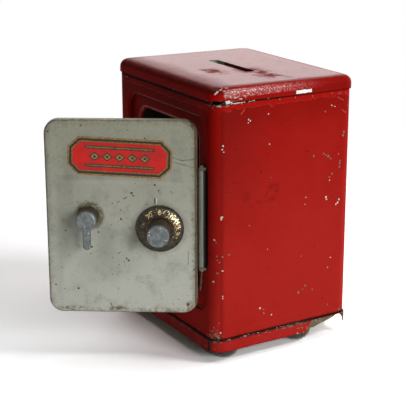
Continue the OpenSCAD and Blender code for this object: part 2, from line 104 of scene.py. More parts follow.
class Shader:
    """A tree of shader nodes, built from Python expressions."""

    def __init__(self, owner: bpy.types.Material | bpy.types.World) -> None:
        """Empties the tree of a material or a world."""
        owner.use_nodes = True
        self.owner = owner
        self.tree = owner.node_tree
        self.tree.nodes.clear()

    def add(
        self, kind: str, settings: dict[str, Any] | None = None, inputs: dict[str | int, Any] | None = None
    ) -> bpy.types.Node:
        """Adds a node with its settings first and then the values or links of its sockets.

        Args:
            kind: Blender's name of the node's type.
            settings: Properties of the node.
            inputs: Values or waves by socket name or number.

        Returns:
            The new node.
        """
        node = self.tree.nodes.new(kind)
        for key, value in (settings or {}).items():
            setattr(node, key, value)
        for key, value in (inputs or {}).items():
            socket = node.inputs[key]
            if isinstance(value, Wave):
                self.tree.links.new(value.socket, socket)
            elif isinstance(value, tuple) and len(value) < len(socket.default_value):
                socket.default_value = (*value, 1.0)
            else:
                socket.default_value = value
        return node

    def node(self, kind: str, settings: Any = None, inputs: Any = None, output: str | int = 0) -> Wave:
        """Adds a node as add() does and gives one of its outputs, by name or number."""
        return Wave(self, self.add(kind, settings, inputs).outputs[output])

    def maths(self, operation: str, *values: Any) -> Wave:
        """Adds a Math node on one or two numbers."""
        return self.node("ShaderNodeMath", {"operation": operation}, dict(enumerate(values)))

    def vector(self, operation: str, *values: Any, **named: Any) -> Wave:
        """Adds a Vector Math node.

        Args:
            operation: What it works out.
            values: Its vectors, in order.
            named: Other sockets, such as Scale, by their names.

        Returns:
            The vector or, where the operation gives one, the number.
        """
        inputs = {**dict(enumerate(values)), **named}
        output = "Value" if operation in ("DISTANCE", "DOT_PRODUCT") else "Vector"
        return self.node("ShaderNodeVectorMath", {"operation": operation}, inputs, output)

    def split(self, place: Wave) -> tuple[Wave, Wave, Wave]:
        """Takes a vector apart into its three numbers."""
        x, y, z = self.add("ShaderNodeSeparateXYZ", inputs={0: place}).outputs
        return Wave(self, x), Wave(self, y), Wave(self, z)

    def join(self, x: Any, y: Any, z: Any) -> Wave:
        """Puts three numbers together as a vector."""
        return self.node("ShaderNodeCombineXYZ", inputs={0: x, 1: y, 2: z})

    def mix(self, under: Any, over: Any, share: Any) -> Wave:
        """Lays the colour over on the colour under, as much as share says."""
        inputs = {"Factor": share, 6: under, 7: over}
        return self.node("ShaderNodeMix", {"data_type": "RGBA"}, inputs, 2)

    def length(self, across: Wave, up: Wave) -> Wave:
        """Length of the line that goes so far across and so far up."""
        squares = self.maths("POWER", across, 2.0) + self.maths("POWER", up, 2.0)
        return self.maths("SQRT", squares)

    def seen(self) -> Wave:
        """Tells soft light from what is seen.

        Returns:
            1 for rays of the camera, of gloss and of transmission, and 0 for soft light.
        """
        path = self.add("ShaderNodeLightPath").outputs
        rays = ("Is Camera Ray", "Is Glossy Ray", "Is Transmission Ray")
        camera, gloss, through = (Wave(self, path[ray]) for ray in rays)
        return camera.at_least(gloss).at_least(through)


class Paint(Shader):
    """One node material, built from expressions on object coordinates in millimetres."""

    def __init__(self, name: str) -> None:
        """Starts an empty material of that name."""
        super().__init__(bpy.data.materials.new(name))
        texture = self.node("ShaderNodeTexCoord", output="Object")
        self.place = self.vector("SCALE", texture, Scale=1 / MM)
        self.x, self.y, self.z = self.split(self.place)

    def noise(self, grain: float, detail: float = 3.0, rough: float = 0.5, at: Wave | None = None) -> Wave:
        """Soft noise of about 0.25 to 0.75 with features of grain millimetres and detail finer layers."""
        inputs = {"Vector": at or self.place, "Scale": 1 / grain, "Detail": detail, "Roughness": rough}
        return self.node("ShaderNodeTexNoise", inputs=inputs)

    def uneven(self, reach: float, grain: float, *noise: Any) -> Wave:
        """Noise as noise() makes it, but about 0 and up to a quarter of reach either way."""
        return (self.noise(grain, *noise) - 0.5) * reach

    def torn(self, grain: float, start: float, end: float, at: Wave) -> Wave:
        """Ragged patches: 0 where fine noise lies under start and 1 where it lies over end."""
        return self.noise(grain, 3, 0.6, at).ramp(start, end)

    def warped(self, reach: float, grain: float) -> Wave:
        """Shakes the object's place, so that what is drawn with it has ragged edges.

        Args:
            reach: How far it is shaken, in millimetres.
            grain: Size of the raggedness in millimetres.

        Returns:
            The shaken place.
        """
        inputs = {"Vector": self.place, "Scale": 1 / grain, "Detail": 2.0}
        shake = self.node("ShaderNodeTexNoise", inputs=inputs, output="Color")
        centred = self.vector("SUBTRACT", shake, (0.5, 0.5, 0.5))
        return self.vector("ADD", self.place, self.vector("SCALE", centred, Scale=2 * reach))

    def flakes(self, grain: float, share: Any, size: float, at: Wave | None = None) -> Wave:
        """Scattered small marks, at most one in each cell.

        Args:
            grain: Size of a cell in millimetres.
            share: Share of the cells that hold a mark; it may vary over the surface.
            size: Radius of a mark as a share of its cell.
            at: Place that it is read at, or None for the object's own.

        Returns:
            1 on a mark and 0 off it.
        """
        inputs = {"Vector": at or self.place, "Scale": 1 / grain}
        cell = self.add("ShaderNodeTexVoronoi", inputs=inputs).outputs
        chance = self.split(Wave(self, cell["Color"]))[0]
        dot = Wave(self, cell["Distance"]).ramp(size * 1.15, size * 0.85)
        return self.maths("LESS_THAN", chance, share) * dot

    def spots(self, points: Sequence[Spot], at: Wave) -> Wave:
        """Round marks at given places.

        Args:
            points: Middle and radius of each mark, in millimetres.
            at: Place that it is read at.

        Returns:
            1 on a mark and 0 off it.
        """
        nearest: Wave | None = None
        for radius in sorted({point[3] for point in points}):
            near: Wave | None = None
            for point in points:
                if point[3] == radius:
                    far = self.vector("DISTANCE", at, point[:3])
                    near = far if near is None else near.up_to(far)
            nearest = near - radius if nearest is None else nearest.up_to(near - radius)
        return nearest.ramp(0.1, -0.06)

    def stroke(self, start: Point, end: Point, half: float, at: Wave) -> Wave:
        """A scratch between two points.

        Args:
            start: One end.
            end: The other end.
            half: Half its width in millimetres.
            at: Place that it is read at.

        Returns:
            1 on the scratch and 0 off it.
        """
        along = Vector(end) - Vector(start)
        rest = self.vector("SUBTRACT", at, start)
        share = self.vector("DOT_PRODUCT", rest, tuple(along / along.length_squared))
        foot = self.vector("SCALE", tuple(along), Scale=share.at_least(0.0).up_to(1.0))
        return self.vector("DISTANCE", rest, foot).ramp(half * 1.4, half * 0.6)

    def rounded(self, across: Wave, up: Wave, half_w: float, half_h: float, radius: float) -> Wave:
        """Distance out from a rectangle with round corners round the origin.

        Args:
            across: Place across the rectangle.
            up: Place up it.
            half_w: Half its width.
            half_h: Half its height.
            radius: Radius of its corners.

        Returns:
            The distance, less than 0 inside it.
        """
        a = abs(across) - (half_w - radius)
        b = abs(up) - (half_h - radius)
        corner = self.length(a.at_least(0.0), b.at_least(0.0))
        return corner + a.at_least(b).up_to(0.0) - radius

    def surface(self, varying: dict[str, Any], specular: float) -> Wave:
        """Makes a surface from the sockets that vary over it and how strongly it mirrors all over."""
        return self.node("ShaderNodeBsdfPrincipled", inputs={**varying, "Specular IOR Level": specular})

    def end(self, surface: Wave) -> bpy.types.Material:
        """Ends the material in its surface."""
        self.add("ShaderNodeOutputMaterial", inputs={"Surface": surface})
        return self.owner


@dataclass
class Skin:
    """A surface under construction, on which each later coat is laid."""

    paint: Paint
    colour: Any
    rough: Any
    metal: Any = 0.0
    height: Any = 0.0

    def lay(
        self,
        share: Wave,
        colour: Any = None,
        rough: float | None = None,
        metal: float | None = None,
        height: float = 0.0,
    ) -> None:
        """Lays one more coat where share says.

        Args:
            share: Where the coat is, 0 to 1.
            colour: Colour of the coat, or None to keep what is under it.
            rough: Roughness of the coat, or None to keep it.
            metal: How far the coat is bare metal, or None to keep it.
            height: How far the coat stands proud, in millimetres.
        """
        if colour is not None:
            self.colour = self.paint.mix(self.colour, colour, share)
        if rough is not None:
            self.rough = self.rough + share * (rough - self.rough)
        if metal is not None:
            self.metal = self.metal + share * (metal - self.metal)
        if height:
            self.height = self.height + share * height

    def scratch(self, lines: Iterable[Line], at: Wave, share: Any, *coat: Any, height: float = 0.0) -> None:
        """Draws scratches.

        Args:
            lines: Both ends and half the width of each.
            at: Place that they are read at.
            share: How strongly they show.
            coat: Colour and roughness in them, as in lay().
            height: How far they stand proud, in millimetres.
        """
        for line in lines:
            self.lay(self.paint.stroke(*line, at) * share, *coat, height=height)

    def done(
        self, specular: float = 0.5, polish: Wave | None = None, dull: float = 0.004
    ) -> bpy.types.Material:
        """Ends the material.

        Args:
            specular: How strongly the surface mirrors where it is polished.
            polish: Where it is polished, or None for all over.
            dull: How strongly it mirrors where it is not.

        Returns:
            The finished material.
        """
        bump = {"Strength": 1.0, "Distance": MM, "Height": self.height}
        varying = {"Base Color": self.colour, "Roughness": self.rough, "Metallic": self.metal}
        varying["Normal"] = self.paint.node("ShaderNodeBump", inputs=bump)
        surface = self.paint.surface(varying, specular)
        if polish is not None:
            under = self.paint.surface(varying, dull)
            surface = self.paint.node("ShaderNodeMixShader", inputs={0: polish, 1: under, 2: surface})
        return self.paint.end(surface)


@dataclass(frozen=True)
class CaseForm:
    """Sizes of the case that its paint follows, in millimetres from the middle of the case."""

    back: float = 29.1
    half_w: float = 45.1
    half_d: float = 37.4
    corner: float = 6.0
    lap: float = 0.7
    skirt_z: float = 5.4
    land_y: float = -35.3
    recess_mid: tuple[float, float] = (1.8, 67.25)
    recess_half: tuple[float, float] = (35.2, 45.35)
    recess_r: float = 7.6
    open_mid: tuple[float, float] = (0.65, 67.2)
    open_half: tuple[float, float] = (26.65, 38.9)
    open_r: float = 6.2
    lip_r: float = 1.8

    def wall(self, paint: Paint, proud: float = 0.0) -> Wave:
        """Distance out from the case's walls, or from a skirt that stands proud of them."""
        grown = self.half_w + proud, self.half_d + proud, self.corner + proud
        return paint.rounded(paint.x, paint.y - self.back, *grown)

    def side(self, paint: Paint) -> Wave:
        """1 on the right wall and 0 round its corners."""
        return paint.x.ramp(44.0, 45.0)

    def front(self, paint: Paint) -> Wave:
        """1 on the front wall and 0 round its corners."""
        return paint.y.ramp(-4.5, -5.5)

    def recess(self, paint: Paint) -> Wave:
        """Distance out from the recess's outline, as the front is seen."""
        mid, half = self.recess_mid, self.recess_half
        return paint.rounded(paint.x - mid[0], paint.z - mid[1], *half, self.recess_r)

    def opening(self, paint: Paint) -> Wave:
        """Distance out from the opening's outline, as the front is seen."""
        mid, half = self.open_mid, self.open_half
        return paint.rounded(paint.x - mid[0], paint.z - mid[1], *half, self.open_r)

    def on_side(self, *marks: Point) -> tuple[Spot, ...]:
        """Puts marks, each given by its y, z and radius, on the case's right wall."""
        return tuple((self.half_w, *mark) for mark in marks)

    def lines_on_side(self, *lines: FlatLine) -> tuple[Line, ...]:
        """Puts scratches, each given by the y and z of both ends and half its width, on the right wall."""
        x = self.half_w
        return tuple(((x, y0, z0), (x, y1, z1), half) for y0, z0, y1, z1, half in lines)


@dataclass(frozen=True)
class DoorForm:
    """Sizes of the door in millimetres, measured from the hinge's axis along the shut door."""

    axis: tuple[float, float] = (36.2, -9.5)
    rest: float = 56.5
    face: float = -1.25
    mid: tuple[float, float] = (-35.5, 67.35)
    half: tuple[float, float] = (33.5, 44.65)
    corner: float = 6.4
    dial: tuple[float, float] = (-18.6, 63.0)
    handle: tuple[float, float] = (-50.5, 68.0)
    mark: tuple[float, float] = (-20.2, 75.8)

    def local(self, paint: Paint, place: Wave | None = None) -> tuple[Wave, Wave, Wave]:
        """Reads a place as it is on the shut door.

        Args:
            paint: Paint that it is for.
            place: The place, or None for the object's own.

        Returns:
            How far it is along the door, out of its back, and up.
        """
        turn = (0.0, 0.0, math.radians(self.rest))
        inputs = {"Vector": place or paint.place, "Location": (*self.axis, 0.0), "Rotation": turn}
        return paint.split(paint.node("ShaderNodeMapping", {"vector_type": "TEXTURE"}, inputs))

    def on_face(self, *marks: Point) -> tuple[Spot, ...]:
        """Puts marks, each given by its x, z and radius, on the door's face."""
        return tuple((x, 0.0, z, radius) for x, z, radius in marks)

    def lines_on_face(self, *lines: FlatLine) -> tuple[Line, ...]:
        """Puts scratches, each given by the x and z of both ends and half its width, on the door's face."""
        return tuple(((x0, 0.0, z0), (x1, 0.0, z1), half) for x0, z0, x1, z1, half in lines)

    def far(self, paint: Paint, x: Wave, z: Wave, mid: tuple[float, float]) -> Wave:
        """Distance on the door's face from a point."""
        return paint.length(x - mid[0], z - mid[1])

    def outline(self, paint: Paint, x: Wave, z: Wave) -> Wave:
        """Distance out from the door's outline, as its face is seen."""
        return paint.rounded(x - self.mid[0], z - self.mid[1], *self.half, self.corner)

    def seat(self, x: float, z: float, tilt: float = 0.0) -> Matrix:
        """Places a drawing on the door's face.

        Args:
            x: Place along the door of the drawing's origin.
            z: Height of the drawing's origin.
            tilt: Turn of the drawing in degrees, anticlockwise as the face is seen.

        Returns:
            What takes x across, y up and z out of the face, in millimetres, to the row frame in metres.
        """
        flat = Matrix(((1, 0, 0, x), (0, 0, -1, self.face), (0, 1, 0, z), (0, 0, 0, 1)))
        swing = Matrix.Translation((*self.axis, 0)) @ Matrix.Rotation(math.radians(self.rest), 4, "Z")
        return Matrix.Scale(MM, 4) @ swing @ flat @ Matrix.Rotation(math.radians(tilt), 4, "Z")


CASE = CaseForm()
DOOR = DoorForm()


class Hue:
    """Colours that several finishes share."""

    TEAL = srgb(96, 122, 108)
    PALE = srgb(206, 210, 198)
    DARK = srgb(34, 26, 22)
    RUST = srgb(104, 66, 38)
    STAIN = srgb(128, 112, 74)
    TIN = srgb(150, 148, 140)
    DULL_TIN = srgb(112, 106, 94)
    STEEL = srgb(120, 114, 104)
    SEAM_SHADOW = srgb(16, 11, 9)


CHIP = (Hue.TEAL, 0.5, 0.3)


class Sheet(Enum):
    """The red sheets of the case, which wear in different places."""

    BODY = "body_enamel"
    LID = "lid_enamel"
    TRAY = "tray_enamel"


PALE_CHIPS = (
    *CASE.on_side(
        (8.8, 111.8, 0.3), (9.7, 111.2, 0.3), (8.7, 110.5, 0.3), (19.3, 113.1, 0.3), (53.7, 113.0, 0.3),
        (55.3, 112.2, 0.3), (20.0, 99.4, 0.3), (53.6, 77.9, 0.3), (51.8, 70.1, 0.5), (52.2, 69.0, 0.4),
        (59.3, 67.8, 0.4), (58.5, 66.4, 0.4), (57.7, 65.7, 0.4), (40.4, 71.7, 0.2), (40.0, 68.4, 0.2),
        (19.7, 50.5, 0.2), (38.7, 43.6, 0.2), (55.4, 40.1, 0.3), (54.0, 35.3, 0.3), (16.1, 22.6, 0.4),
        (18.0, 21.7, 0.2), (18.2, 19.8, 0.2), (22.5, 18.0, 0.3),
    ),
    (44.9, -4.0, 101.6, 0.4), (44.8, -4.3, 100.0, 0.3), (44.9, -3.7, 99.0, 0.3), (44.7, -4.5, 69.4, 0.5),
    (44.6, -4.7, 68.5, 0.4), (44.8, -4.0, 44.4, 0.4), (42.3, -7.4, 39.2, 0.4), (44.9, -4.0, 32.4, 0.3),
    (44.9, -3.9, 31.5, 0.3), (44.6, -4.8, 14.9, 0.4), (42.8, -7.1, 58.8, 0.4),
)
TEAL_CHIPS = (
    *CASE.on_side(
        (50.2, 110.6, 0.3), (44.4, 90.6, 0.4), (49.8, 91.0, 0.4), (51.2, 90.2, 0.4), (52.4, 89.5, 0.5),
        (53.8, 88.3, 0.3), (58.3, 89.7, 0.3), (59.3, 86.4, 0.4), (59.1, 85.2, 0.4), (59.0, 83.5, 0.4),
        (61.0, 99.8, 0.5), (60.6, 98.2, 0.5), (21.1, 84.0, 0.2), (54.9, 80.9, 0.4), (53.5, 79.5, 0.4),
        (9.8, 63.2, 0.3), (-0.8, 51.6, 0.4), (41.2, 28.7, 0.4), (39.7, 27.3, 0.2), (45.4, 26.0, 0.3),
        (37.4, 26.1, 0.55), (54.5, 16.5, 0.3), (61.5, 12.6, 0.4),
    ),
    (43.3, -6.5, 57.5, 0.3), (44.8, -4.1, 50.9, 0.3), (43.6, -6.3, 51.3, 0.3), (43.8, -6.1, 49.4, 0.3),
    (44.3, -5.3, 48.5, 0.3), (43.8, -6.1, 43.4, 0.4), (42.6, -7.2, 17.2, 0.4), (42.0, -7.5, 15.3, 0.4),
    (44.2, -5.5, 19.5, 0.3), (40.7, -8.1, 13.1, 0.55), (41.4, -7.8, 11.9, 0.5), (43.6, -6.2, 13.1, 0.55),
    (44.2, -5.5, 12.2, 0.55), (44.0, 64.0, 11.6, 0.55),
)
DARK_CHIPS = (
    *CASE.on_side(
        (55.3, 97.3, 0.3), (40.9, 93.3, 0.3), (39.6, 93.2, 0.2), (15.8, 87.0, 0.4), (10.5, 72.0, 0.3),
        (51.4, 20.2, 0.3), (46.0, 47.0, 0.3), (57.3, 93.1, 0.2),
    ),
    (42.8, -7.0, 44.6, 0.4),
)


@dataclass(frozen=True)
class RedEnamel:
    """Thick red stove enamel on tinplate, chipped to bare tin, dark along its seams, with painted shade,
    shadow and highlights.
    """

    sheet: Sheet
    # The paler red low down is partly painted light; clear is the deeper red higher up.
    dusty_and_lit: Colour = (0.425, 0.0175, 0.0125)
    clear: Colour = (0.345, 0.0062, 0.0035)
    dark: Colour = (0.16, 0.005, 0.004)

    def material(self) -> bpy.types.Material:
        """Makes the enamel for its sheet.

        Returns:
            The finished material.
        """
        paint = Paint(self.sheet.value)
        ragged = paint.warped(0.42, 1.0)
        skin = self.ground(paint)
        ways = {Sheet.BODY: self.wear_body, Sheet.LID: self.wear_lid, Sheet.TRAY: self.wear_tray}
        return skin.done(polish=ways[self.sheet](skin, ragged))

    def ground(self, paint: Paint) -> Skin:
        """Lays the enamel itself: uneven tone, painted shade that deepens the red with height, orange-peel
        surface, pores and light scuffs.

        Args:
            paint: The material that it is for.

        Returns:
            The surface so far.
        """
        tone = paint.uneven(1.1, 26, 4, 0.6)
        # Painted shade: the red deepens with height, and the paler red low down is painted light thrown up
        # from the table.
        tone_and_shade = (paint.z.ramp(30, 118) * 0.9 + tone).at_least(0.0).up_to(1.0)
        colour = paint.mix(self.dusty_and_lit, self.clear, tone_and_shade)
        peel = paint.uneven(0.022, 0.8, 2) + paint.uneven(0.05, 3.4, 2)
        waves = paint.uneven(0.3, 24, 1)
        skin = Skin(paint, colour, paint.noise(7).ramp(0.2, 0.8) * 0.14 + 0.28, 0.0, peel + waves)
        skin.lay(paint.noise(9, 5, 0.7).ramp(0.56, 0.74) * 0.26, self.dark, 0.45)
        skin.lay(paint.noise(1.2, 3, 0.7).ramp(0.5, 0.72) * 0.16, self.dark, 0.4)
        skin.lay(paint.flakes(1.9, 0.05, 0.1) * 0.6, Hue.DARK, 0.6)
        skin.lay(paint.flakes(6.0, 0.05, 0.04) * 0.8, Hue.TEAL, 0.5)
        return skin

    def wear_body(self, skin: Skin, ragged: Wave) -> Wave:
        """Wears the wrapped body: chips on its right side and near corner, dark bands at both seams, and
        painted shade, shadow and highlights.

        Args:
            skin: The surface so far.
            ragged: Place with ragged edges.

        Returns:
            Where the enamel is polished.
        """
        paint = skin.paint
        self.tint_and_shade_body(skin)
        self.run_body(skin, ragged)
        self.soil_body(skin)
        self.chip_body(skin, ragged)
        self.wear_recess(skin)
        self.mark_side(skin, ragged)
        self.bare_inside(skin)
        rolled = CASE.recess(paint).between(-0.7, 0.2, 0.3)
        rolled = rolled.at_least(CASE.opening(paint).between(0.2, 1.4, 0.4))
        return rolled * CASE.front(paint) * 0.3 + CASE.side(paint) * 0.06 + 0.015

    def tint_and_shade_body(self, skin: Skin) -> None:
        """Tints and shades the body: deeper under the lid, painted shade high on its side, high on its
        front and where its side turns into the front corner, and painted light that makes its front paler
        low down.

        Args:
            skin: The surface so far.
        """
        paint = skin.paint
        z, side, front = paint.z, CASE.side(paint), CASE.front(paint)
        top = (z + paint.uneven(14, 14)).ramp(100, 117)
        skin.lay(top * 0.9, (0.275, 0.0045, 0.0022), 0.2)
        # Painted shade: the side darkens towards its top and its front edge.
        skin.lay(side * paint.y.ramp(28, -4) * z.ramp(40, 119) * 0.55, self.dark, 0.3)
        # Painted shade: deeper red high on the front.
        skin.lay(front * z.ramp(92, 110) * 0.6, (0.44, 0.008, 0.004), 0.25)
        # Painted light: paler red low on the front, for light thrown up from the table.
        skin.lay(front * z.ramp(44, 14) * 0.4, (0.62, 0.032, 0.024), 0.35)
        # Painted shade: a dark band where the side turns round the front corner.
        skin.lay(side * paint.y.ramp(-3.3, -4.4) * 0.42, self.dark, 0.3)
        grimy = front * z.ramp(104, 117) * paint.noise(4.5, 5, 0.7).ramp(0.46, 0.62)
        skin.lay(grimy * 0.38, srgb(42, 22, 16), 0.5)

    def run_body(self, skin: Skin, ragged: Wave) -> None:
        """Thickens the enamel in a band under the lid, with runs below it, and paints pinkish highlights
        along the band's lower edge and on the runs.

        Args:
            skin: The surface so far.
            ragged: Place with ragged edges.
        """
        paint = skin.paint
        sag = paint.z + paint.uneven(4.2, 4.2, 2)
        thick = sag.ramp(116.9, 117.2)
        skin.lay(thick * 0.8, (0.42, 0.006, 0.003), 0.18, height=0.14)
        # Painted highlight: a pinkish line along the thick band's lower edge.
        rim = sag.between(116.9, 117.15, 0.12) * paint.noise(3, 2).ramp(0.42, 0.55)
        skin.lay(rim * 0.2, (0.62, 0.1, 0.08), 0.2)
        # Raised runs, drawn pinkish partly as painted highlight.
        runs = CASE.lines_on_side(
            (57.0, 116.4, 60.2, 114.6, 0.28),
            (59.6, 110.4, 61.4, 108.8, 0.3),
            (61.4, 108.8, 63.2, 110.8, 0.3),
            (63.2, 110.8, 63.6, 114.0, 0.25),
        )
        skin.scratch(runs, ragged, 0.4, (0.6, 0.1, 0.09), 0.2, height=0.06)

    def soil_body(self, skin: Skin) -> None:
        """Soils the body's side with rubbed marks, darkens a band along the seam with the tray, and paints
        the shadow under the lid's edge.

        Args:
            skin: The surface so far.
        """
        paint = skin.paint
        z = paint.z
        hatch = paint.torn(1.0, 0.60, 0.70, paint.join(paint.x * 0.1, paint.y * 0.12, z * 1.4))
        hatch = hatch * paint.y.between(-3, 6, 4) * z.between(76, 100, 6) * CASE.side(paint)
        skin.lay(hatch * 0.8, self.dark, 0.6)
        smudge = paint.noise(6).ramp(0.52, 0.66) * paint.y.between(8, 24, 3) * z.between(74, 80, 2)
        skin.lay(smudge * 0.45, self.dark, 0.5)
        low = (z + paint.uneven(2.2, 3)).ramp(12.6, 11.4)
        skin.lay(low * 0.75, Hue.DARK, 0.55)
        # Painted shadow: a near-black line just under the lid's edge.
        high = (z + paint.uneven(0.7, 2.5)).ramp(119.2, 119.6)
        skin.lay(high * 0.92, Hue.SEAM_SHADOW, 0.5)

    def chip_body(self, skin: Skin, ragged: Wave) -> None:
        """Chips the body along its corners and seams, and paints near-white highlights at the near corner
        and just under the lid.

        Args:
            skin: The surface so far.
            ragged: Place with ragged edges.
        """
        paint = skin.paint
        z = paint.z
        outer = CASE.wall(paint).ramp(-0.5, -0.3)
        corner = outer * (abs(paint.x) + abs(paint.y - CASE.back)).ramp(77.0, 79.0)
        skin.lay(paint.flakes(2.0, corner * 0.07, 0.15, ragged), *CHIP)
        skin.lay(paint.flakes(2.4, z.ramp(16, 12) * 0.2, 0.15, ragged), *CHIP)
        skin.lay(paint.flakes(1.5, z.ramp(117.2, 119) * 0.1, 0.2, ragged), *CHIP)
        near = paint.x.ramp(37, 42) * paint.y.ramp(4, -2)
        skin.lay(near * z.ramp(118.4, 118.8) * paint.torn(1.6, 0.52, 0.56, ragged) * 0.8, Hue.TEAL, 0.4)
        # Painted highlights: near-white glints at the near corner and just under the lid.
        glints = (
            ((42.5, -7.3, 119.4), (44.6, -5.0, 119.0), 0.18),
            *CASE.lines_on_side(
                (-2.4, 120.2, 0.2, 120.4, 0.36),
                (-0.1, 119.7, 6.8, 119.8, 0.18),
                (9.0, 119.9, 12.0, 119.9, 0.1),
            ),
        )
        skin.scratch(glints, ragged, paint.noise(1.1, 2).ramp(0.36, 0.44), srgb(236, 232, 222), 0.3)
        base = paint.x.ramp(37, 41) * paint.y.ramp(-3, -6) * z.ramp(17.5, 13.0)
        skin.lay(base * paint.torn(1.3, 0.57, 0.61, ragged), srgb(118, 134, 112), 0.5, 0.3)
        strip = ((29.4, -6.2, 31.0), (31.1, -6.2, 42.0), 0.36)
        skin.scratch((strip,), ragged, paint.noise(1.2, 2).ramp(0.36, 0.5), srgb(150, 158, 138), 0.5, 0.4)

    def wear_recess(self, skin: Skin) -> None:
        """Paints the hinge's notch black as painted shade, wears the rolled edge of the recess and shades
        the recess just inside it.

        Args:
            skin: The surface so far.
        """
        paint = skin.paint
        # Painted shade: black where the gap behind the hinge lies in shadow.
        notch = paint.x.between(32.5, 38.9, 0.3) * paint.z.between(43.6, 91.2, 0.4)
        skin.lay(notch * paint.y.ramp(-4.2, -4.8) * 0.85, srgb(16, 10, 9), 0.6)
        recess, front = CASE.recess(paint), CASE.front(paint)
        worn = recess.between(-0.2, 0.8, 0.3) * front
        skin.lay(worn * paint.noise(1.6).ramp(0.56, 0.64) * 0.8, Hue.DARK, 0.5, height=-0.03)
        # Painted shade: darker just inside the recess's edge.
        skin.lay(recess.between(-1.6, -0.2, 0.8) * front * 0.5, self.dark, 0.5)

    def mark_side(self, skin: Skin, ragged: Wave) -> None:
        """Puts the single chips and scratches on the body's side and near corner.

        Args:
            skin: The surface so far.
            ragged: Place with ragged edges.
        """
        paint = skin.paint
        skin.lay(paint.spots(PALE_CHIPS, ragged), Hue.PALE, 0.55, 0.1)
        skin.lay(paint.spots(TEAL_CHIPS, ragged), Hue.TEAL, 0.5, 0.2)
        skin.lay(paint.spots(DARK_CHIPS, ragged), Hue.DARK, 0.5)
        pale, black, bright = CASE.lines_on_side(
            (5.5, 14.2, 45.0, 16.6, 0.12),
            (48.0, 22.0, 61.0, 14.0, 0.1),
            (5.0, 114.6, 6.6, 116.4, 0.26),
        )
        skin.scratch((pale,), ragged, 0.45, (0.62, 0.04, 0.03), 0.4, height=-0.02)
        skin.scratch((black,), ragged, 0.5, Hue.DARK, 0.5)
        skin.scratch((bright,), ragged, 0.7, (0.72, 0.1, 0.04), 0.5)

    def bare_inside(self, skin: Skin) -> None:
        """Leaves the body's inside as dull bare tin with spots of rust.

        Args:
            skin: The surface so far.
        """
        paint = skin.paint
        y = paint.y - CASE.back
        inner = CASE.wall(paint).ramp(-0.42, -0.48)
        recess = CASE.recess(paint).ramp(0.46, 0.38) * y.ramp(CASE.land_y + 0.34, CASE.land_y + 0.26)
        lip = CASE.lip_r
        a = (lip - CASE.opening(paint)).at_least(0.0)
        b = (CASE.land_y + lip - y).at_least(0.0)
        rolled = paint.length(a, b).ramp(lip - 0.34, lip - 0.26)
        rolled = rolled * CASE.opening(paint).ramp(lip, lip - 0.05) * y.ramp(-32.9, -33.1)
        inside = inner * (1.0 - recess.at_least(rolled))
        tin = paint.mix(Hue.DULL_TIN, srgb(88, 72, 56), paint.noise(12, 5, 0.65))
        skin.lay(inside, tin, 0.55, 0.45)
        skin.lay(inside * paint.noise(5, 5, 0.7).ramp(0.56, 0.66) * 0.8, Hue.RUST, 0.8, 0.0)

    def wear_lid(self, skin: Skin, ragged: Wave) -> Wave:
        """Wears the lid: sheen on its top, scuffed roll, painted highlights on its right roll, chipped
        lower edge and the slot's bare end.

        Args:
            skin: The surface so far.
            ragged: Place with ragged edges.

        Returns:
            Where the enamel is polished.
        """
        paint = skin.paint
        x, y, z = paint.x, paint.y - CASE.back, paint.z
        wall = CASE.wall(paint, CASE.lap)
        flat = wall.ramp(-3.4, -4.4)
        roll = wall.ramp(-4.0, -2.6)
        skin.lay(flat, (0.25, 0.008, 0.006), 0.3)
        streaks = paint.noise(5.0, 4, 0.6).ramp(0.36, 0.7)
        patch = (x - 21).between(-9, 9, 9) * (y - 2.6).between(-4, 3, 6)
        patch = patch.at_least((x - 7).between(-3, 5, 6) * (y + 14.5).between(-2, 2, 5))
        smudge = (streaks * patch * 1.1).up_to(1.0).at_least(paint.noise(6, 5, 0.7).ramp(0.56, 0.76) * 0.35)
        skin.lay(flat * smudge, (0.2, 0.006, 0.004), 0.55)
        skin.lay(flat * paint.flakes(3.0, 0.22, 0.13, ragged) * 0.8, self.dark, 0.7)
        fade = (y + paint.uneven(8, 14)).ramp(-35.0, -20.0)
        skin.lay((1.0 - fade) * 0.4, (0.12, 0.006, 0.004), 0.4)
        skin.height = skin.height + roll * paint.uneven(0.16, 0.95, 2)
        skin.lay(roll * paint.noise(2.6, 4, 0.65).ramp(0.62, 0.70) * 0.5, self.dark, 0.4)
        skin.lay(roll * z.between(120.8, 123.0, 0.8) * 0.5, (0.3, 0.005, 0.003), 0.25)
        front = paint.y.ramp(-3.0, -5.0)
        crease = front * z.between(124.4, 126.5, 0.7) * paint.noise(3.0, 4, 0.65).ramp(0.3, 0.6)
        skin.lay(crease * 0.6, srgb(52, 28, 16), 0.5)
        skin.lay(front * z.between(120.6, 124.0, 0.9) * 0.7, (0.5, 0.006, 0.003), 0.25)
        skin.lay(roll * x.ramp(44.0, 45.0) * paint.y.ramp(24, 60) * 0.4, self.dark, 0.35)
        self.chip_lid(skin, ragged, roll)
        self.bare_lid(skin, wall)
        grain = paint.noise(2.6).ramp(0.26, 0.46) * (paint.noise(0.8, 2).ramp(0.34, 0.56) * 0.6 + 0.4)
        band = z.between(122.6, 125.6, 0.5) * x.ramp(43.0, 44.6) * paint.y.ramp(-4.5, -3.0)
        band = band * grain * paint.y.ramp(54, 2)
        skin.lay(band, None, 0.1)
        # Painted highlight: pale pink flecks in the glossy band along the right roll.
        skin.lay(band * paint.noise(0.7, 2).ramp(0.44, 0.6) * 0.55, srgb(240, 204, 200), 0.2)
        sheen = flat * (fade * 0.85 + 0.15) * (1.0 - smudge * 0.85) * x.ramp(41.4, 37.8) * 0.42
        return sheen.at_least(band).at_least(roll * 0.03)

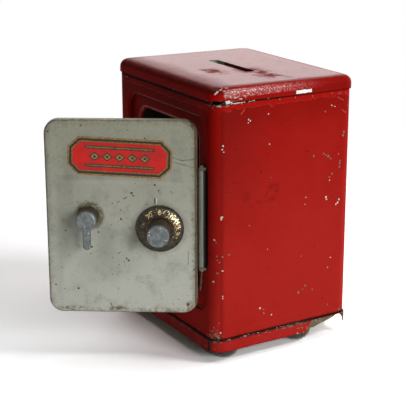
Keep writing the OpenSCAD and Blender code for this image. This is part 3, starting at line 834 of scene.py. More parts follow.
    def chip_lid(self, skin: Skin, ragged: Wave, roll: Wave) -> None:
        """Chips the lid's lower edge and near corner, and paints near-white highlights there and on its
        right skirt, with a black nick as painted shadow.

        Args:
            skin: The surface so far.
            ragged: Place with ragged edges.
            roll: Where the lid rolls over into its skirt.
        """
        paint = skin.paint
        x, z = paint.x, paint.z
        # Painted shadow: the lid's lower edge darkened along the seam.
        low = (z + paint.uneven(0.8, 1.6)).ramp(120.2, 119.9)
        skin.lay(low * roll * 0.9, Hue.SEAM_SHADOW, 0.5)
        skin.lay(paint.flakes(1.6, roll * z.ramp(121.8, 120.4) * 0.16, 0.24, ragged), *CHIP)
        near = paint.x.ramp(35, 42) * paint.y.ramp(6.0, -2.0)
        skin.lay(near * z.ramp(122.0, 120.8) * paint.torn(1.5, 0.5, 0.54, ragged) * 0.8, Hue.TEAL, 0.4)
        # Painted highlights: near-white glints round the near corner and on the right skirt.
        glints = (
            ((43.2, -7.0, 124.3), (43.5, -6.2, 125.2), 0.36),
            ((43.5, -6.2, 125.2), (43.5, -4.4, 126.1), 0.24),
            ((43.5, -4.4, 126.1), (42.6, -3.2, 126.6), 0.14),
            ((45.8, -3.2, 121.0), (45.9, -1.4, 121.2), 0.34),
            ((45.9, 1.2, 122.3), (45.9, 1.9, 122.4), 0.26),
            ((45.9, 3.6, 121.6), (45.9, 4.8, 121.5), 0.2),
            ((43.1, -1.9, 126.5), (43.1, -0.9, 126.5), 0.26),
        )
        skin.scratch(glints, ragged, 1.0, srgb(240, 236, 226), 0.3)
        # Painted shadow: a black nick where the lid's corner gapes.
        nick = ((43.2, -7.6, 121.0), (45.7, -4.0, 121.0), 0.55)
        skin.scratch((nick,), ragged, 1.0, srgb(10, 8, 7), 0.7)
        rim = paint.x.ramp(37, 42) * paint.y.ramp(-4.0, -7.0) * z.ramp(125.6, 126.3)
        skin.lay(rim * paint.torn(1.4, 0.5, 0.55, ragged) * 0.9, srgb(84, 100, 78), 0.5)
        _, along, up = paint.split(ragged)
        # Painted highlight: a near-white patch on the right skirt.
        white = along.between(33.4, 41.8, 0.1) * up.between(120.6, 122.0, 0.1) * x.ramp(44, 45)
        skin.lay(white * paint.noise(1.6).ramp(0.34, 0.4), srgb(250, 249, 246), 0.35)
        chips = (
            (45.4, 6.9, 121.9, 0.45),
            (45.4, 16.0, 122.6, 0.3),
            (44.2, 62.6, 122.8, 0.55),
            (40.2, 9.4, 125.9, 0.45),
        )
        skin.lay(paint.spots(chips, ragged), *CHIP)

    def bare_lid(self, skin: Skin, wall: Wave) -> None:
        """Bares the tin at one end of the slot and inside the lid.

        Args:
            skin: The surface so far.
            wall: Distance out from the lid's skirt.
        """
        paint = skin.paint
        y, z = paint.y - CASE.back, paint.z
        across, along = abs(y - 0.3), paint.x + 1.6
        throat = across.ramp(3.3, 3.0) * abs(along).ramp(17.6, 17.2) * z.ramp(126.2, 125.4)
        skin.lay(throat * along.ramp(-8, -12), srgb(150, 165, 140), 0.5, 0.2)
        skin.lay(throat * along.ramp(-12, -8) * 0.8, (0.12, 0.012, 0.01), 0.5)
        nx, ny, nz = paint.split(paint.node("ShaderNodeTexCoord", output="Normal"))
        inward = (nx * paint.x * 0.03 + ny * y * 0.03).ramp(-0.05, -0.25) * wall.ramp(-0.2, -0.35)
        below = nz.ramp(-0.3, -0.6) * wall.ramp(-1.4, -1.8)
        tin = paint.mix(srgb(118, 112, 98), srgb(86, 70, 54), paint.noise(9, 5, 0.65))
        skin.lay(inward.at_least(below) * (1.0 - throat), tin, 0.55, 0.45)

    def wear_tray(self, skin: Skin, ragged: Wave) -> Wave:
        """Wears the base tray: dark seam with pinkish painted highlights along it, chipped corners, painted
        shade in the corner slits, and bare brown metal where it is torn.

        Args:
            skin: The surface so far.
            ragged: Place with ragged edges.

        Returns:
            Where the enamel is polished.
        """
        paint = skin.paint
        y, z = paint.y, paint.z
        seam = (z + paint.uneven(1.0, 1.8)).ramp(10.1, 10.7)
        skin.lay(seam * 0.9, Hue.DARK, 0.45)
        side = paint.x.ramp(44.2, 45.2)
        # Painted highlights: pinkish flecks along the seam on the right side.
        glints = paint.flakes(1.0, seam * 0.4 * y.ramp(38, 30) * side, 0.34, ragged)
        skin.lay(glints, srgb(214, 176, 178), 0.3, 0.2)
        skin.lay((z + paint.uneven(1.2, 1.5)).ramp(6.1, 5.5) * 0.7, self.dark, 0.5)
        skin.lay(paint.flakes(1.7, z.ramp(9.0, 10.2) * 0.14, 0.2, ragged), *CHIP)
        near = paint.x.ramp(37, 40) * y.ramp(-5.5, -7.5)
        skin.lay(near * paint.torn(1.4, 0.6, 0.64, ragged), *CHIP)
        edge = y.between(30, 41, 3) * z.ramp(9.4, 10.4) * side
        skin.lay(edge * paint.torn(1.2, 0.54, 0.58, ragged), *CHIP)
        rear = y.between(37.0, 42.0, 0.6) * z.between(5.4, 8.3, 0.4) * side
        skin.lay(rear * paint.torn(1.5, 0.54, 0.58, ragged), srgb(158, 160, 138), 0.5, 0.3)
        # Painted shade: dark lines at the corner slits.
        slit = abs(abs(paint.x) - 41.1).ramp(0.95, 0.55) * (abs(y - CASE.back)).ramp(36.5, 37.4)
        skin.lay(slit, Hue.DARK, 0.6)
        wall = CASE.wall(paint, CASE.lap)
        under = wall.ramp(-0.32, -0.42) * z.ramp(10.75, 10.6)
        tin = paint.mix(srgb(120, 112, 98), Hue.RUST, paint.noise(7, 5, 0.7).ramp(0.42, 0.6))
        skin.lay(under, tin, 0.6, 0.4)
        torn = (y + paint.uneven(1.6, 1.6) - (z - CASE.skirt_z) * 0.63).ramp(41.6, 42.1)
        torn = torn * paint.x.ramp(42.6, 43.4) * z.ramp(10.8, 10.4)
        brown = paint.mix(srgb(132, 118, 94), srgb(72, 56, 42), paint.noise(2.2, 4, 0.7))
        skin.lay(torn, brown, 0.55, 0.35, -0.02)
        skin.lay(torn * paint.noise(1.1).ramp(0.58, 0.64) * 0.7, srgb(168, 160, 138), 0.45, 0.5)
        return paint.noise(5, 2).ramp(0.3, 0.7) * 0.1 + 0.1


@dataclass(frozen=True)
class GreyEnamel:
    """Thin grey enamel of the door, stained yellow and brown, over bare tin at the back, with painted shade
    darkening it towards the top.
    """

    name: str = "door_enamel"
    pale: Colour = (0.66, 0.675, 0.585)
    deep: Colour = (0.375, 0.375, 0.285)

    def material(self) -> bpy.types.Material:
        """Makes the enamel.

        Returns:
            The finished material.
        """
        paint = Paint(self.name)
        x, y, z = DOOR.local(paint)
        edge = DOOR.outline(paint, x, z)
        # Painted shade and light: the grey darkens towards the top, and the paler lower part stands in for
        # light thrown up from the table.
        shade_fall = (z + paint.uneven(30, 24)).ramp(26, 112)
        colour = paint.mix(self.pale, self.deep, shade_fall)
        dent = paint.uneven(0.35, 20, 1) + paint.uneven(0.014, 1.1, 2)
        skin = Skin(paint, colour, paint.noise(5) * 0.2 + 0.3, 0.0, dent)
        skin.lay(paint.noise(8, 5, 0.65).ramp(0.46, 0.7) * 0.3, srgb(122, 123, 112))
        skin.lay(paint.noise(0.7, 2).ramp(0.52, 0.66) * 0.2, srgb(206, 206, 194))
        skin.lay(paint.noise(0.9, 3, 0.7).ramp(0.54, 0.72) * 0.24, srgb(92, 94, 82))
        self.soil(skin, x, z)
        self.stain(skin, x, z, edge)
        self.mark(skin, x, z)
        self.hinge_side(skin, x, y, z)
        back = y.ramp(-0.85, -0.75) * edge.ramp(-0.4, -0.5) * x.ramp(-1.9, -2.2)
        tin = paint.mix(srgb(140, 134, 118), srgb(104, 90, 68), paint.noise(11, 5, 0.65))
        skin.lay(back, tin, 0.5, 0.5)
        skin.lay(back * paint.noise(4, 5, 0.7).ramp(0.58, 0.68) * 0.7, Hue.RUST, 0.8, 0.0)
        return skin.done(specular=0.3)

    def soil(self, skin: Skin, x: Wave, z: Wave) -> None:
        """Lays the soft grey handling marks.

        Args:
            skin: The surface so far.
            x: Place along the door.
            z: Height on it.
        """
        paint = skin.paint
        wander = paint.uneven(7, 6, 4, 0.65)
        for left, up, wide, high, share in (
            (-61.2, 55.0, 3.0, 9.0, 0.22),
            (-63.0, 66.0, 5.0, 16.0, 0.2),
            (-43.0, 58.0, 4.5, 9.0, 0.3),
            (-42.0, 46.0, 12.0, 7.0, 0.2),
            (-58.5, 88.0, 2.2, 12.0, 0.18),
            (-30.8, 55.4, 2.2, 3.0, 0.3),
            (-64.5, 40.0, 2.0, 14.0, 0.2),
        ):
            far = paint.length((x + wander * 0.3 - left) * (1 / wide), (z + wander - up) * (1 / high))
            skin.lay(far.ramp(1.6, 0.3) * share, srgb(86, 88, 74), 0.5)

    def stain(self, skin: Skin, x: Wave, z: Wave, edge: Wave) -> None:
        """Stains the door along its rim, round the dial and the handle, and in specks.

        Args:
            skin: The surface so far.
            x: Place along the door.
            z: Height on it.
            edge: Distance out from the door's outline.
        """
        paint = skin.paint
        mottle = paint.noise(2.6, 5, 0.75)
        rim = (edge + (mottle - 0.5) * 9).ramp(-3.6, 0.6)
        skin.lay(rim * 0.42, Hue.STAIN, 0.55)
        line = (edge + paint.uneven(1.5, 1.3, 4, 0.7)).ramp(-0.9, -0.1)
        skin.lay(line * 0.6, srgb(76, 68, 52), 0.6)
        skin.lay(edge.between(-0.5, 0.5, 0.2) * mottle.ramp(0.56, 0.62) * 0.8, Hue.DARK, 0.6)
        skin.lay(edge.between(-0.35, 0.6, 0.15) * z.ramp(26, 24.5) * 0.8, Hue.DARK, 0.6)
        low = z.ramp(26.0, 23.8) * (mottle + paint.uneven(0.5, 8, 2)).ramp(0.50, 0.60)
        skin.lay(low * 0.5, srgb(116, 92, 52), 0.7)
        pools = ((-58.0, 24.8, 5.0, 0.9), (-37.6, 24.8, 3.2, 1.0), (-6.0, 26.0, 2.2, 2.4))
        for left, up, wide, high in pools:
            far = paint.length((x - left) * (1 / wide), (z - up) * (1 / high))
            skin.lay(far.ramp(1.7, 0.4) * mottle.ramp(0.42, 0.56) * 0.8, srgb(104, 74, 34), 0.7)
        top = edge.between(-1.1, 0.5, 0.3) * x.ramp(-9.0, -5.0) * z.ramp(87.0, 92.0)
        skin.lay(top * mottle.ramp(0.4, 0.46) * 0.85, Hue.DARK, 0.6)
        dial_far = DOOR.far(paint, x, z, DOOR.dial)
        skin.lay((dial_far + (mottle - 0.5) * 5).ramp(14.0, 10.6) * 0.32, srgb(124, 114, 80), 0.55)
        skin.lay((dial_far + (mottle - 0.5) * 1.2).ramp(11.0, 10.5) * 0.7, srgb(64, 56, 42), 0.6)
        at_x, at_z = DOOR.handle
        ring = DOOR.far(paint, x, z, (at_x + 0.6, at_z + 0.5)) + (mottle - 0.5) * 3.4
        lean = ((x - at_x) * 0.7 + (z - at_z) * 0.7).ramp(-5.5, 0.5)
        skin.lay(ring.between(4.8, 5.8, 1.6) * lean * mottle.ramp(0.32, 0.5) * 0.85, srgb(92, 82, 24), 0.65)
        skin.lay(DOOR.far(paint, x, z, DOOR.handle).ramp(5.4, 5.0) * 0.7, srgb(52, 48, 40), 0.6)
        busy = x.between(-42, -28, 4) * z.between(46, 72, 5)
        skin.lay(paint.flakes(1.5, busy * 0.14 + 0.03, 0.16), srgb(82, 68, 46), 0.7)
        skin.lay(paint.flakes(3.0, 0.06, 0.1) * 0.85, srgb(118, 88, 44), 0.7)
        skin.lay(paint.flakes(2.1, 0.05, 0.09) * 0.8, srgb(60, 56, 48), 0.7)
        skin.lay(paint.noise(4.0, 4, 0.7).ramp(0.60, 0.74) * 0.28, Hue.STAIN, 0.5)

    def hinge_side(self, skin: Skin, x: Wave, y: Wave, z: Wave) -> None:
        """Wears the edge beside the hinge and the rolled knuckle, and blackens the knuckle's far side as
        painted shade.

        Args:
            skin: The surface so far.
            x: Place along the door.
            y: Place out of its back.
            z: Height on it.
        """
        paint = skin.paint
        mottle = paint.noise(2.2, 5, 0.75)
        hinge = (x + (mottle - 0.5) * 6).ramp(-4.8, -2.2)
        skin.lay(hinge * 0.55, srgb(128, 108, 68), 0.6)
        skin.lay(hinge * mottle.ramp(0.56, 0.64) * 0.8, srgb(84, 64, 38), 0.7)
        knuckle = x.ramp(-2.2, -1.9)
        skin.lay(knuckle * 0.75, srgb(146, 148, 140), 0.4)
        drawn = paint.noise(0.55, 3, 0.6, paint.join(x, y, z * 0.05))
        skin.lay(knuckle * drawn.ramp(0.5, 0.62) * 0.6, srgb(96, 94, 84), 0.5)
        skin.lay(knuckle * drawn.ramp(0.42, 0.34) * 0.5, srgb(214, 216, 210), 0.35)
        skin.lay(knuckle * paint.flakes(1.6, 0.14, 0.18), Hue.RUST, 0.7)
        rusty = y.ramp(-0.9, 0.3) * paint.noise(1.5, 4, 0.7).ramp(0.42, 0.52)
        skin.lay(knuckle * rusty, srgb(96, 72, 46), 0.7)
        skin.lay(x.between(-3.0, -2.2, 0.35) * y.ramp(-0.6, -1.0) * 0.8, srgb(72, 60, 40), 0.6)
        # Painted shade: the knuckle's far side near-black.
        skin.lay(knuckle * x.ramp(0.4, 0.8) * 0.97, srgb(10, 8, 7), 0.6)
        skin.lay(knuckle * z.ramp(89.6, 90.8) * 0.7, srgb(40, 34, 28), 0.6)
        skin.lay(x.between(-1.7, -1.2, 0.15) * y.ramp(0.0, -0.4) * 0.7, srgb(48, 42, 34), 0.6)

    def mark(self, skin: Skin, x: Wave, z: Wave) -> None:
        """Draws what stands at one place: the index mark and the crease with painted shade and highlights,
        scratches and rust specks.

        Args:
            skin: The surface so far.
            x: Place along the door.
            z: Height on it.
        """
        paint = skin.paint
        ragged_x, _, ragged_z = DOOR.local(paint, paint.warped(0.3, 0.8))
        at = paint.join(ragged_x, 0.0, ragged_z)
        left, up = DOOR.mark
        tall = abs(z - up).ramp(1.5, 1.1)
        # Painted shade and painted highlight: the raised index mark dark on its left, near-white on its
        # right.
        skin.lay(tall * (x - left).between(-0.6, -0.1, 0.2), srgb(44, 38, 32), 0.5)
        skin.lay(tall * (x - left).between(0.0, 0.4, 0.15), srgb(226, 226, 218), 0.4)
        crease = (z - 84.2 + paint.noise(18, 2) * 0.8).between(-0.1, 0.2, 1.1)
        skin.height = skin.height + (z - 84.2).ramp(-1.2, 1.2) * 0.05 + x.ramp(-63, -67) * 0.25
        # Painted highlight: a pale line along the crease.
        skin.lay(crease * x.ramp(-64, -56) * 0.1, srgb(214, 214, 202), 0.35)
        # Painted shade: a darker band just above the crease.
        skin.lay((z - 86.4).between(-0.5, 0.5, 1.2) * x.between(-62, -28, 6) * 0.14, srgb(86, 88, 80), 0.5)
        rust = DOOR.on_face(
            (-30.9, 79.2, 0.5), (-30.2, 78.0, 0.35), (-32.8, 47.9, 0.5), (-33.6, 48.7, 0.4),
            (-55.7, 34.2, 0.5), (-35.8, 67.2, 0.45), (-67.0, 106.8, 0.4), (-52.5, 109.6, 0.4),
            (-65.8, 36.0, 0.35), (-6.2, 27.2, 0.6), (-24.8, 104.0, 0.4), (-50.4, 88.4, 0.4),
        )
        skin.lay(paint.spots(rust, at), srgb(100, 66, 28), 0.7)
        black = DOOR.on_face(
            (-46.0, 61.0, 0.35), (-49.1, 54.0, 0.4), (-49.6, 50.9, 0.25), (-20.6, 83.0, 0.4),
            (-19.0, 80.4, 0.3), (-39.4, 74.3, 0.25), (-36.0, 71.4, 0.25), (-13.5, 80.0, 0.25),
            (-3.4, 43.9, 0.35), (-60.6, 61.6, 0.3),
        )
        skin.lay(paint.spots(black, at), srgb(34, 32, 26), 0.6)
        scratches = DOOR.lines_on_face(
            (-13.0, 95.6, -8.6, 94.2, 0.14), (-8.6, 94.2, -3.2, 94.8, 0.18),
            (-13.4, 93.6, -6.6, 92.2, 0.12), (-9.4, 92.4, -3.0, 91.0, 0.1),
            (-55.5, 75.2, -53.4, 73.5, 0.12), (-34.4, 76.6, -33.2, 77.2, 0.3),
            (-37.2, 75.0, -36.4, 75.4, 0.22), (-37.4, 51.0, -36.4, 51.8, 0.2),
            (-6.1, 46.2, -6.1, 52.4, 0.14), (-41.4, 27.6, -40.2, 24.8, 0.2),
        )
        skin.scratch(scratches, at, 0.75, srgb(62, 58, 50), 0.6, height=-0.03)


@dataclass(frozen=True)
class CastZinc:
    """Dull grey die-cast metal with pits, and grime towards the door's face."""

    name: str
    mid: tuple[float, float]
    clean_y: float

    def material(self) -> bpy.types.Material:
        """Makes the metal.

        Returns:
            The finished material.
        """
        paint = Paint(self.name)
        tone = paint.noise(2.0, 4, 0.6)
        colour = paint.mix(srgb(122, 128, 129), srgb(92, 98, 98), tone.ramp(0.35, 0.65))
        height = paint.uneven(0.05, 0.7)
        skin = Skin(paint, colour, tone * 0.25 + 0.32, 0.5, height)
        skin.lay(paint.noise(1.4, 4, 0.7).ramp(0.58, 0.66) * 0.6, srgb(72, 70, 60), 0.6, 0.3, -0.03)
        skin.lay(paint.flakes(0.8, 0.3, 0.22), srgb(58, 55, 44), 0.7, 0.2, -0.04)
        skin.lay(paint.flakes(1.3, 0.1, 0.22), srgb(196, 198, 192), 0.4, 0.5, 0.02)
        x, y, z = DOOR.local(paint)
        foot = (y + paint.uneven(2.0, 1.0)).ramp(self.clean_y, self.clean_y + 2.0)
        foot = foot * DOOR.far(paint, x, z, self.mid).ramp(5.8, 5.2)
        grime = paint.mix(srgb(62, 50, 28), srgb(20, 17, 13), paint.noise(0.9))
        skin.lay(foot * 0.96, grime, 0.6, 0.3)
        skin.lay(y.ramp(0.0, 0.6) * 0.6, srgb(96, 90, 78), 0.6)
        return skin.done()


@dataclass(frozen=True)
class DialBrass:
    """Spun brass blackened round its numbers, with a dark lip, worn spots and near-white painted highlights
    towards its upper right.
    """

    name: str = "dial_brass"
    lip_r: float = 9.75
    hollow_r: float = 6.35

    def material(self) -> bpy.types.Material:
        """Makes the metal.

        Returns:
            The finished material.
        """
        paint = Paint(self.name)
        x, y, z = DOOR.local(paint)
        far = DOOR.far(paint, x, z, DOOR.dial)
        black = paint.mix(srgb(52, 45, 30), srgb(28, 25, 19), paint.noise(1.6, 4, 0.6).ramp(0.35, 0.65))
        skin = Skin(paint, black, 0.26, 0.55, paint.uneven(0.06, 0.6))
        # lean grows towards the dial's upper right, where highlights are painted.
        lean = ((x - DOOR.dial[0]) * 0.7 + (z - DOOR.dial[1]) * 0.7) * 0.011
        worn = paint.noise(1.1, 4, 0.75) + lean
        skin.lay(worn.ramp(0.57, 0.66) * 0.7, srgb(112, 88, 48), 0.28, 0.9)
        # Painted highlight: near-white patches towards the upper right.
        bright = (paint.noise(0.9, 3, 0.6) + lean * 1.3).ramp(0.66, 0.72)
        skin.lay(bright * 0.9, srgb(232, 220, 192), 0.2, 1.0)
        hollow = far.ramp(self.hollow_r + 0.1, self.hollow_r - 0.1)
        turned = paint.noise(0.5, 3, 0.6, paint.join(far * 1.6, x * 0.25, z * 0.25))
        lathed = paint.mix(srgb(40, 31, 18), srgb(104, 76, 34), turned.ramp(0.44, 0.66))
        skin.lay(hollow, lathed, 0.35, 0.8)
        groove = far.between(self.hollow_r - 0.25, self.hollow_r + 0.1, 0.15)
        skin.lay(groove * 0.95, srgb(14, 12, 9), 0.5, 0.2, -0.05)
        lip = far.ramp(self.lip_r, self.lip_r + 0.12)
        smoky = paint.mix(srgb(56, 52, 45), srgb(26, 23, 18), paint.noise(1.4, 4, 0.7).ramp(0.4, 0.6))
        skin.lay(lip, smoky, 0.3, 0.7)
        foot = far.between(self.lip_r - 0.35, self.lip_r - 0.02, 0.1)
        skin.lay(foot * 0.9, srgb(18, 16, 12), 0.5, 0.2)
        back = y.ramp(DOOR.face - 0.3, DOOR.face - 0.1)
        skin.lay(back * 0.5, srgb(120, 96, 58), 0.45, 0.8)
        return skin.done()


@dataclass(frozen=True)
class GiltNumber:
    """Worn gilding on the raised numbers, blackened with tarnish, darker towards the lower left as painted
    shade and brighter towards the upper right as painted highlight.
    """

    name: str = "gilt_numbers"

    def material(self) -> bpy.types.Material:
        """Makes the gilding.

        Returns:
            The finished material.
        """
        paint = Paint(self.name)
        x, _, z = DOOR.local(paint)
        lean = ((x - DOOR.dial[0]) * 0.5 + (z - DOOR.dial[1]) * 0.85) * 0.022
        gold = paint.mix(srgb(214, 194, 146), srgb(150, 120, 66), paint.noise(0.8).ramp(0.4, 0.6))
        skin = Skin(paint, gold, 0.25, 1.0, paint.uneven(0.03, 0.4, 2))
        # Tarnish in noise, shifted by lean: painted shade towards the lower left, painted highlight towards
        # the upper right.
        grime = (paint.noise(1.3, 4, 0.7) - lean).ramp(0.38, 0.47)
        skin.lay(grime * 0.88, srgb(44, 37, 24), 0.45, 0.5)
        return skin.done()


@dataclass(frozen=True)
class PlainMetal:
    """Bare or rusted metal of the small parts."""

    name: str
    colour: Colour
    shade: Colour
    rust: float
    metallic: float = 0.8
    roughness: float = 0.4

    def material(self) -> bpy.types.Material:
        """Makes the metal.

        Returns:
            The finished material.
        """
        paint = Paint(self.name)
        colour = paint.mix(self.colour, self.shade, paint.noise(3, 4, 0.6).ramp(0.35, 0.65))
        height = paint.uneven(0.03, 0.9)
        rough = paint.noise(2) * 0.2 + (self.roughness - 0.1)
        skin = Skin(paint, colour, rough, self.metallic, height)
        patches = paint.noise(2.6, 5, 0.7).ramp(0.66 - self.rust * 0.3, 0.74 - self.rust * 0.3)
        skin.lay(patches * 0.85, paint.mix(Hue.RUST, Hue.DARK, paint.noise(0.9)), 0.8, 0.1, 0.02)
        skin.lay(paint.flakes(0.9, 0.12, 0.2), Hue.DARK, 0.7, 0.2, -0.02)
        return skin.done()


@dataclass(frozen=True)
class PlaqueLacquer:
    """Printed red lacquer with gold and black lines and a row of plain lozenges."""

    name: str = "plaque_lacquer"
    half: tuple[float, float] = (22.9, 8.7)
    clip: float = 4.6
    mid: tuple[float, float] = (-35.8, 95.3)
    tilt: float = -2.7
    pitch: float = 5.5
    rule_up: float = 4.1
    rule_end: float = 15.1
    row_end: float = 13.7

    def inset(self, a: Wave, b: Wave) -> Wave:
        """Distance in from the plaque's outline with its clipped corners.

        Args:
            a: Place along the plaque, without its sign.
            b: Place up the plaque, without its sign.

        Returns:
            The distance, more than 0 inside it.
        """
        sides = (self.half[0] - a).up_to(self.half[1] - b)
        corner = (self.half[0] + self.half[1] - self.clip - a - b) * math.sqrt(0.5)
        return sides.up_to(corner)

    def material(self) -> bpy.types.Material:
        """Makes the lacquer.

        Returns:
            The finished material.
        """
        paint = Paint(self.name)
        x, _, z = DOOR.local(paint, paint.warped(0.06, 0.6))
        across, up = x - self.mid[0], z - self.mid[1]
        tilt = math.radians(self.tilt)
        a = across * math.cos(tilt) + up * math.sin(tilt)
        b = up * math.cos(tilt) - across * math.sin(tilt)
        inset = self.inset(abs(a), abs(b))
        red = paint.mix((0.80, 0.009, 0.004), (0.58, 0.009, 0.006), paint.noise(9, 5, 0.6).ramp(0.36, 0.6))
        gold = paint.mix(srgb(176, 142, 78), srgb(132, 100, 48), paint.noise(1.2, 4, 0.7).ramp(0.4, 0.6))
        olive = paint.mix(srgb(142, 120, 52), srgb(98, 80, 34), paint.noise(1.0, 3, 0.7).ramp(0.4, 0.6))
        ink = srgb(14, 15, 15)
        skin = Skin(paint, red, 0.38, 0.0, paint.uneven(0.02, 1.4, 2))
        skin.lay(inset.ramp(2.3, 2.2), olive, 0.4)
        skin.lay(inset.ramp(1.78, 1.66), ink, 0.4)
        skin.lay(inset.ramp(0.85, 0.72), gold, 0.45)
        reach = abs(abs(b) - self.rule_up)
        rules = abs(a).ramp(self.rule_end + 0.2, self.rule_end)
        skin.lay(reach.ramp(0.76, 0.66) * rules, ink, 0.4)
        within = abs(a).ramp(self.rule_end - 0.2, self.rule_end - 0.4)
        skin.lay(reach.ramp(0.36, 0.26) * rules * within, olive, 0.45)
        wrapped = paint.maths("WRAP", a, self.pitch / 2, -self.pitch / 2)
        lozenge = abs(wrapped) * 0.8 + abs(b)
        row = abs(a).ramp(self.row_end + 0.2, self.row_end)
        skin.lay(lozenge.ramp(2.15, 2.03) * row, ink, 0.4)
        skin.lay(lozenge.ramp(1.55, 1.43) * row, gold, 0.45)
        skin.lay(lozenge.ramp(0.7, 0.58) * row, ink, 0.4)
        skin.lay(paint.flakes(2.4, 0.05, 0.13), srgb(196, 204, 192), 0.5)
        skin.lay(inset.ramp(0.5, 0.0) * paint.noise(0.9).ramp(0.5, 0.56), Hue.STAIN, 0.6)
        return skin.done(specular=0.4)


class Finish(Protocol):
    """What makes a material."""

    def material(self) -> bpy.types.Material:
        """Makes the material."""


def wear(finish: Finish, *nodes: str) -> None:
    """Puts a finish on CAD nodes in place of their own.

    Args:
        finish: The finish, which is made once for all of them.
        nodes: Names of the nodes.
    """
    material = finish.material()
    for node in nodes:
        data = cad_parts[node].data
        data.materials.clear()
        data.materials.append(material)
        log.info("%s: %s", node, material.name)


def wear_stack(part: str) -> None:
    """Finishes the washer, the sleeve and the retainer that the dial or the handle has behind the door."""
    wear(PlainMetal(f"{part}_washer_steel", Hue.STEEL, srgb(84, 74, 60), rust=0.3), f"{part}_spring_washer")
    wear(PlainMetal(f"{part}_sleeve_tin", Hue.TIN, Hue.DULL_TIN, rust=0.1), f"{part}_sleeve")
    wear(PlainMetal(f"{part}_retainer_tin", Hue.TIN, Hue.DULL_TIN, rust=0.15), f"{part}_retainer")


def place(name: str, mesh: bmesh.types.BMesh) -> bpy.types.Object:
    """Turns a finished bmesh in the row frame into an object.

    Args:
        name: Name of the object.
        mesh: Its shape, in metres in the row frame; it is freed.

    Returns:
        The new object.
    """
    data = bpy.data.meshes.new(name)
    mesh.to_mesh(data)
    mesh.free()
    thing = bpy.data.objects.new(name, data)
    bpy.context.collection.objects.link(thing)
    return thing


def add_piece(
    name: str, mesh: bmesh.types.BMesh, material: bpy.types.Material, body: str
) -> None:
    """Makes a piece that rides on a body.

    Args:
        name: Name of the piece.
        mesh: Its shape, as in place().
        material: Its material.
        body: Body that it moves with.
    """
    piece = place(name, mesh)
    piece.data.materials.append(material)
    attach(piece, body)
    log.info("%s: %d faces", name, len(piece.data.polygons))


@dataclass
class Case:
    """The red case with its feet and the hinge's fixed leaf and pin."""

    sheets: tuple[tuple[str, Sheet], ...] = (
        ("body_shell", Sheet.BODY),
        ("lid", Sheet.LID),
        ("base_tray", Sheet.TRAY),
    )
    feet: tuple[str, ...] = ("foot_front_right", "foot_front_left", "foot_rear_right", "foot_rear_left")

    def dress(self) -> None:
        """Gives the case's sheets and metal parts their finishes."""
        for node, sheet in self.sheets:
            wear(RedEnamel(sheet), node)
        brown, black = srgb(46, 38, 30), srgb(22, 17, 13)
        wear(PlainMetal("foot_steel", brown, black, rust=0.35, metallic=0.35, roughness=0.26), *self.feet)
        wear(PlainMetal("bracket_tin", srgb(104, 98, 88), srgb(58, 50, 40), rust=0.4), "hinge_bracket")
        wear(PlainMetal("pin_steel", Hue.STEEL, srgb(80, 70, 56), rust=0.3), "hinge_pin")


@dataclass
class Door:
    """The grey door with its plaque."""

    plaque: PlaqueLacquer = PlaqueLacquer()
    plaque_t: float = 0.14
    plaque_edge: float = 0.05

    def build_plaque(self) -> None:
        """Cuts the thin plaque with clipped corners and lays it on the door's face."""
        mesh = bmesh.new()
        w, h = self.plaque.half
        clip = self.plaque.clip
        rim = [(w - clip, h), (-w + clip, h), (-w, h - clip), (-w, -h + clip)]
        rim += [(-x, -y) for x, y in rim]
        face = mesh.faces.new([mesh.verts.new((x, y, 0.0)) for x, y in rim])
        raised = bmesh.ops.extrude_face_region(mesh, geom=[face])
        top = [v for v in raised["geom"] if isinstance(v, bmesh.types.BMVert)]
        bmesh.ops.translate(mesh, verts=top, vec=(0.0, 0.0, self.plaque_t))
        high = [e for e in mesh.edges if all(v.co.z > self.plaque_t / 2 for v in e.verts)]
        edge = self.plaque_edge
        bmesh.ops.bevel(mesh, geom=high, offset=edge, segments=2, profile=0.5, affect="EDGES", material=-1)
        mesh.transform(DOOR.seat(*self.plaque.mid, self.plaque.tilt))
        bmesh.ops.recalc_face_normals(mesh, faces=mesh.faces)
        add_piece("door_plaque", mesh, self.plaque.material(), "door")

    def dress(self) -> None:
        """Paints the door."""
        wear(GreyEnamel(), "door_panel")


